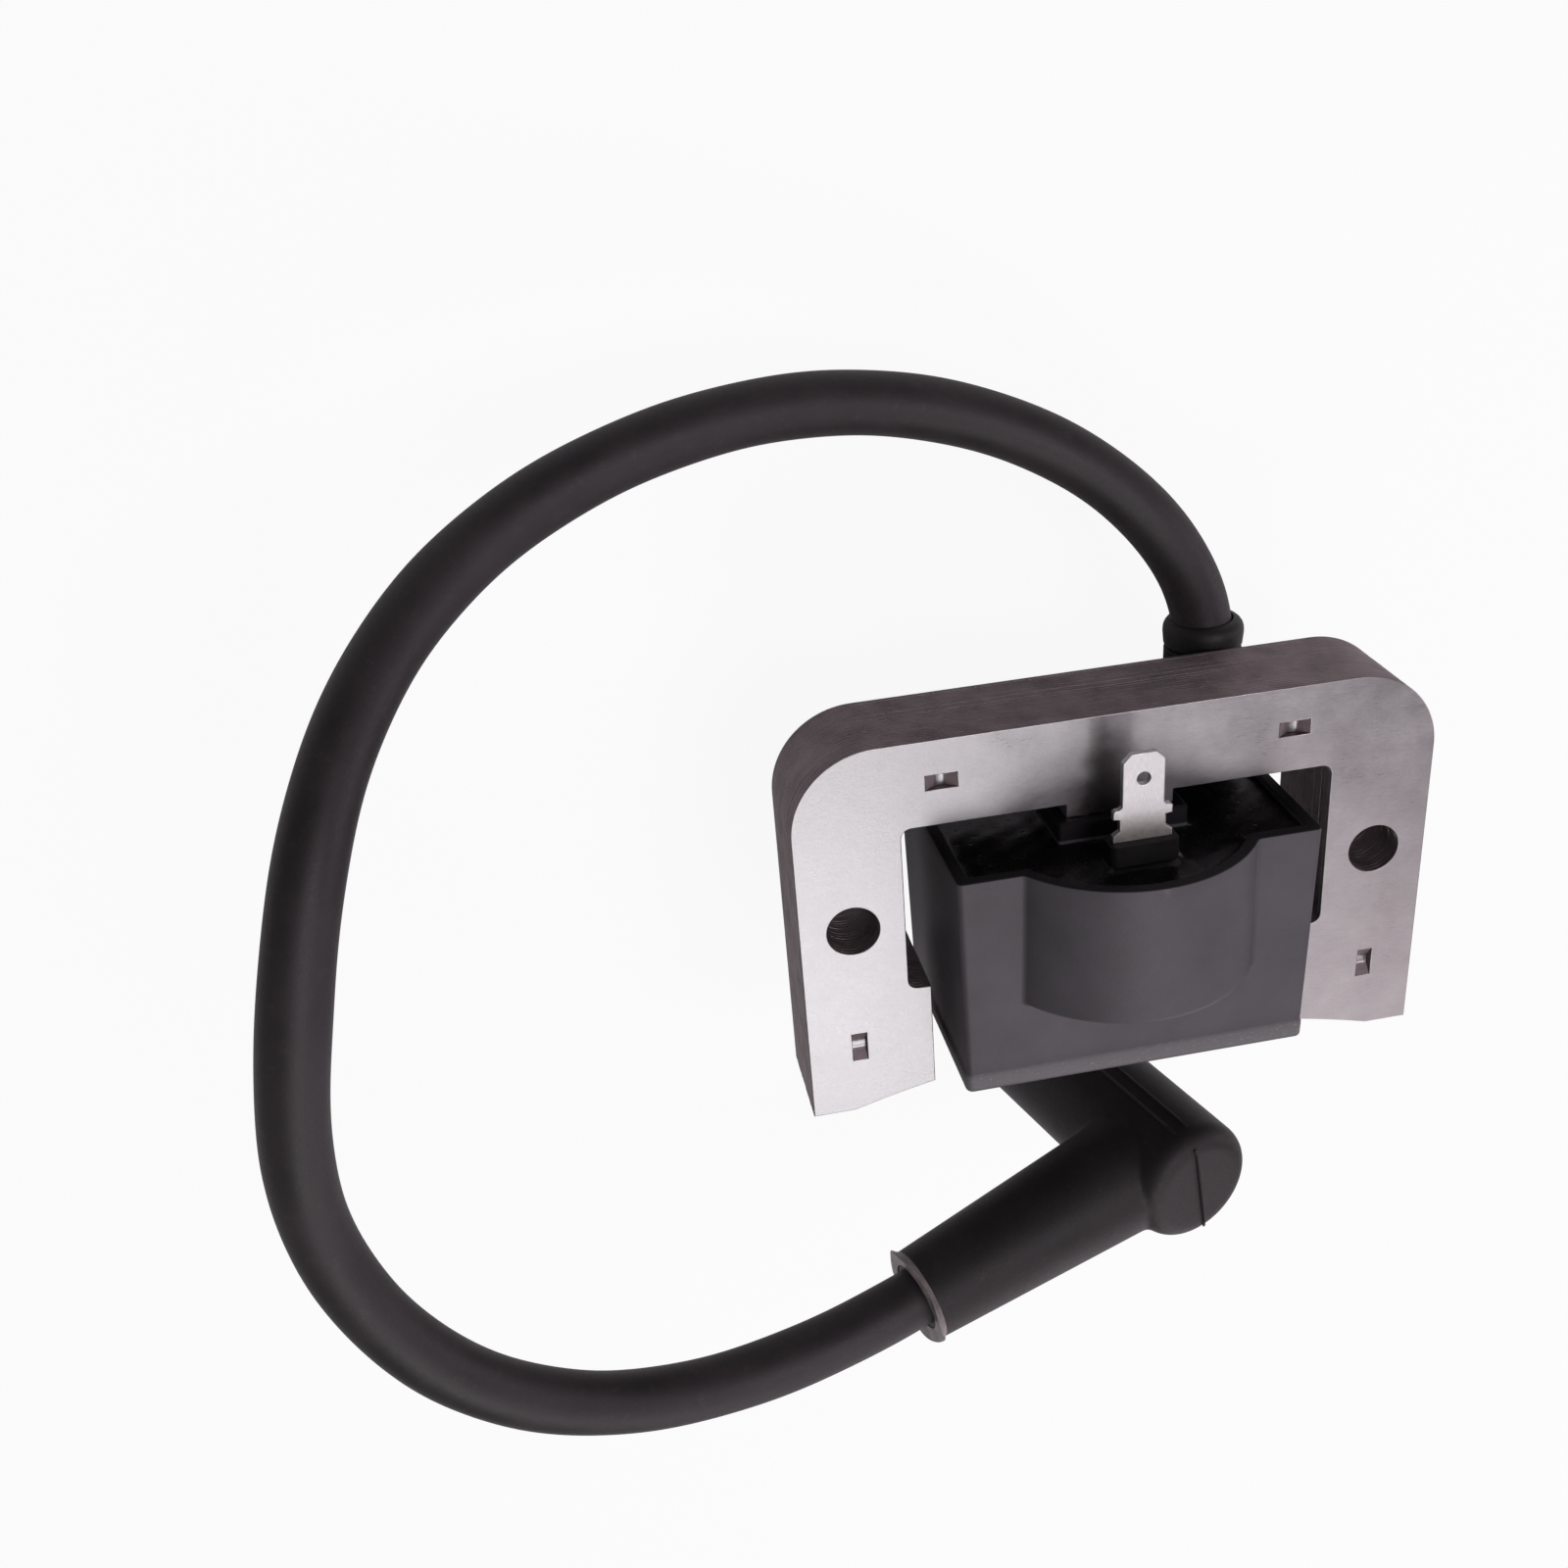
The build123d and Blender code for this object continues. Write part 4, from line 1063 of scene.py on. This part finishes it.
def parting_ridge(path, out, width=0.42, height=0.36):
    """A thin rounded bead along a straight run of points, fading at both ends."""
    along = (path[-1] - path[0]).normalized()
    up = (out - along * out.dot(along)).normalized()
    side = along.cross(up)
    rings = []
    for i, point in enumerate(path):
        fade = min(1.0, i / 3, (len(path) - 1 - i) / 3)
        rise = height * (0.2 + 0.8 * fade)
        ring = []
        for degrees in range(0, 360, 45):
            a = math.radians(degrees)
            ring.append(point + side * (math.cos(a) * width / 2) + up * (math.sin(a) * rise))
        rings.append(ring)
    return clean(ring_mesh("seam", rings), 60)


def boot_seams():
    """Parting beads: two side by side down the barrel's side, and one across the cap."""
    out = SOCKET_DIR.cross(LEAD_DIR)
    out = out if out.y > 0 else -out
    first, last = CAP_ROUND + 0.2 - CAP_LENGTH, BARREL_LENGTH - 0.4
    seams = []
    for offset in (-SEAM_OFFSET, SEAM_OFFSET):
        lean = offset / BARREL_R
        side = (out * math.cos(lean) + LEAD_DIR * math.sin(lean)).normalized()
        foot = ELBOW + side * BARREL_R
        path = [foot + SOCKET_DIR * float(h) for h in np.linspace(first, last, 60)]
        seams.append(parting_ridge(path, side))
    middle = ELBOW - SOCKET_DIR * CAP_LENGTH
    radius = BARREL_R - CAP_ROUND * 0.55
    path = [middle + out * float(reach) for reach in np.linspace(-radius, radius, 40)]
    seams.append(parting_ridge(path, -SOCKET_DIR))
    return seams


def build_boot():
    """The boot's body with its bores and parting beads, and the flash round its mouth."""
    body = clean(cut_boot_bores(boot_body()), 50)
    boot = join([body] + boot_seams(), "plug_boot_shell")
    dress(boot, BOOT_RUBBER)
    finish_piece(boot, "boot", ["plug_boot"])
    build_mouth_flash()


def build_mouth_flash():
    """The thin uneven flange left round the mouth of the boot's lead tube."""
    rng = random.Random(SEED + 1)
    phases = [rng.uniform(0, 2 * math.pi) for _ in range(3)]
    side = LEAD_DIR.cross(SOCKET_DIR).normalized()
    up = side.cross(LEAD_DIR)
    segments = 120
    # the flange's section: radius, and height along the lead's axis from the mouth
    section = [(4.2, -0.12), (5.7, -0.2), (6.15, -0.25), (6.2, -0.1)]
    section += [(5.8, 0.25), (5.55, 0.7), (4.2, 0.15)]
    flange_width = 0.7
    rings = [[] for _ in section]
    for k in range(segments):
        a = 2 * math.pi * k / segments
        wave = sum(math.sin(a * (n + 2) + phase) for n, phase in enumerate(phases))
        out = side * math.cos(a) + up * math.sin(a)
        for ring, (radius, height) in zip(rings, section):
            outer_share = max(0.0, (radius - FLASH_INNER_R) / flange_width)
            ragged_r = radius + 0.10 * wave * outer_share
            ragged_height = height - 0.18 * wave * outer_share
            ring.append(BOOT_MOUTH + LEAD_DIR * ragged_height + out * ragged_r)
    flash = clean(ring_mesh("boot_mouth_flange", rings, closed=True), 40)
    dress(flash, mouth_flash())
    finish_piece(flash, "boot")


# ------------------------------------ carried-over CAD nodes


def dress_cad_nodes():
    """Materials for the CAD nodes that stay, most of them buried in the potting."""
    copper = worked_metal("wire_copper", (0.42, 0.19, 0.09), (0.72, 0.38, 0.20), 0.28, (6, 6, 6))
    strands = worked_metal("strands", (0.48, 0.24, 0.13), (0.78, 0.46, 0.27), 0.3, (5, 5, 5))
    brass = worked_metal("turned_brass", (0.52, 0.38, 0.14), (0.80, 0.64, 0.32))
    spring = worked_metal("spring_steel", (0.34, 0.34, 0.36), (0.60, 0.60, 0.62))
    # dark and light tones, then roughness and specular level
    black_nylon = ((0.006, 0.006, 0.006), (0.012, 0.0115, 0.0115), 0.45, 0.12)
    natural_nylon = ((0.50, 0.46, 0.34), (0.70, 0.66, 0.54))
    case_black = ((0.012, 0.012, 0.013), (0.03, 0.03, 0.032), 0.4)
    finishes = {
        "leg_wedge": spring,
        "clip_ring": spring,
        "primary_bobbin": moulded_nylon("primary_nylon", *black_nylon),
        "primary_winding": wound_copper("thick_wire", (0.33, 0.12, 0.05), (0.62, 0.28, 0.12), 0.5),
        "secondary_bobbin": moulded_nylon("secondary_nylon", *natural_nylon),
        "secondary_winding": wound_copper("fine_wire", (0.42, 0.18, 0.08), (0.7, 0.36, 0.18), 0.12),
        "circuit_board": board_laminate(),
        "switching_transistor": moulded_nylon("transistor_case", *case_black),
        "trigger_capacitor": dipped_coating("orange_dip", (0.42, 0.12, 0.04), (0.62, 0.22, 0.08)),
        "board_resistors": dipped_coating("beige_dip", (0.55, 0.46, 0.30), (0.74, 0.64, 0.46)),
    }
    finishes.update({node: copper for node in ("kill_wire", "ht_wire")})
    finishes.update({node: brass for node in ("ht_pin", "ground_strap")})
    finishes.update({node: brass for node in ("terminal_clip", "contact_spike")})
    finishes.update({f"conductor_{part}": strands for part in ("root", "upper", "lower", "end")})
    for node, material in finishes.items():
        dress(frame["nodes"][node], material)


# ------------------------------------ stage, lights, camera


def pale_floor():
    """Matte near-white, which glows toward the camera only, so that it stays even."""
    s = Shader("pale_floor", Base_Color=(0.86, 0.86, 0.86), Roughness=0.9, Specular_IOR_Level=0.1)
    glow = s.node("ShaderNodeEmission", {"Strength": 1.0})
    to_camera = s.node("ShaderNodeLightPath").outputs["Is Camera Ray"]
    share = s.math("MULTIPLY", to_camera, 0.92)
    inputs = {"Fac": share, 1: s.surface, 2: glow}
    s.feed(s.tree.nodes["Material Output"].inputs["Surface"], s.node("ShaderNodeMixShader", inputs))
    return s.material


def build_stage():
    """A plain pale floor just under the object."""
    low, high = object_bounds()
    half, gap = 3.0, 0.004
    corners = [(-half, -half, 0), (half, -half, 0), (half, half, 0), (-half, half, 0)]
    mesh = bpy.data.meshes.new("floor")
    mesh.from_pydata(corners, [], [(0, 1, 2, 3)])
    mesh.materials.append(pale_floor())
    floor = add_object("floor", mesh)
    centre = (low + high) / 2
    floor.location = (centre.x, centre.y, low.z - gap)


def build_world():
    """White to the camera, and a dim even fill for the object."""
    world = bpy.data.worlds.new("studio")
    bpy.context.scene.world = world
    world.use_nodes = True
    tree = world.node_tree
    background = tree.nodes["Background"]
    path = tree.nodes.new("ShaderNodeLightPath")
    strength = tree.nodes.new("ShaderNodeMapRange")
    strength.inputs["To Min"].default_value = 0.11
    strength.inputs["To Max"].default_value = 1.0
    tree.links.new(path.outputs["Is Camera Ray"], strength.inputs["Value"])
    tree.links.new(strength.outputs["Result"], background.inputs["Strength"])
    background.inputs["Color"].default_value = (1, 1, 1, 1)


def soft_light(name, position, target, size, power, colour):
    """A rectangular soft box that faces a target; places in millimetres."""
    data = bpy.data.lights.new(name, "AREA")
    data.shape = "RECTANGLE"
    data.size = size[0] * MM
    data.size_y = size[1] * MM
    data.energy = power
    data.color = colour
    light = add_object(name, data)
    light.location = Vector(position) * MM
    aim = (Vector(target) - Vector(position)).normalized()
    light.rotation_mode = "QUATERNION"
    light.rotation_quaternion = aim.to_track_quat("-Z", "Y")


# soft boxes: direction from the object, width and height in millimetres, watts and colour
LIGHT_DISTANCE = 620
SOFT_BOXES = {
    "key": ((0.03, -0.56, 0.82), (240, 310), 0.88, (1.0, 0.985, 1.0)),
    "key_right": ((0.46, -0.60, 0.65), (230, 300), 0.30, (1.0, 0.88, 0.93)),
    "low_key": ((0.45, -0.92, 0.18), (420, 420), 0.75, (1.0, 0.91, 0.97)),
    "front": ((0.24, 0.14, 0.96), (320, 320), 1.45, (1.0, 0.91, 0.99)),
    "right": ((0.95, 0.0, 0.30), (320, 320), 0.7, (1.0, 0.88, 0.95)),
    "left": ((-0.85, -0.30, 0.42), (320, 320), 0.12, (1.0, 0.9, 0.95)),
}


def build_lights():
    """Soft boxes in front of and below the object, a little to its right."""
    middle = Vector((-10, 0, 10))
    for name, (direction, size, power, colour) in SOFT_BOXES.items():
        place = middle + Vector(direction).normalized() * LIGHT_DISTANCE
        soft_light(name, place, middle, size, power, colour)


# the camera's place, its line of sight and its upward direction, in the row's frame
CAMERA_AT = Vector((-59.27, 101.66, 171.19))
CAMERA_FORWARD = Vector((0.117, -0.454, -0.883))
CAMERA_UP = Vector((0.146, 0.888, -0.437))
CAMERA_LENS = 37.86


def build_camera():
    """A camera at the reference viewing angle."""
    data = bpy.data.cameras.new("camera")
    data.lens = CAMERA_LENS
    data.sensor_width = 36.0
    data.clip_start = 0.005
    data.clip_end = 20.0
    camera = add_object("camera", data)
    back = -CAMERA_FORWARD.normalized()
    right = CAMERA_UP.cross(back).normalized()
    up = back.cross(right)
    turn = Matrix((right, up, back)).transposed().to_4x4()
    camera.matrix_world = Matrix.Translation(CAMERA_AT * MM) @ turn
    bpy.context.scene.camera = camera


build_core()
build_housing()
build_potting()
build_tab()
build_lead()
build_grommet()
build_boot()
dress_cad_nodes()
build_stage()
build_world()
build_lights()
build_camera()
bpy.context.scene.view_settings.view_transform = "Standard"
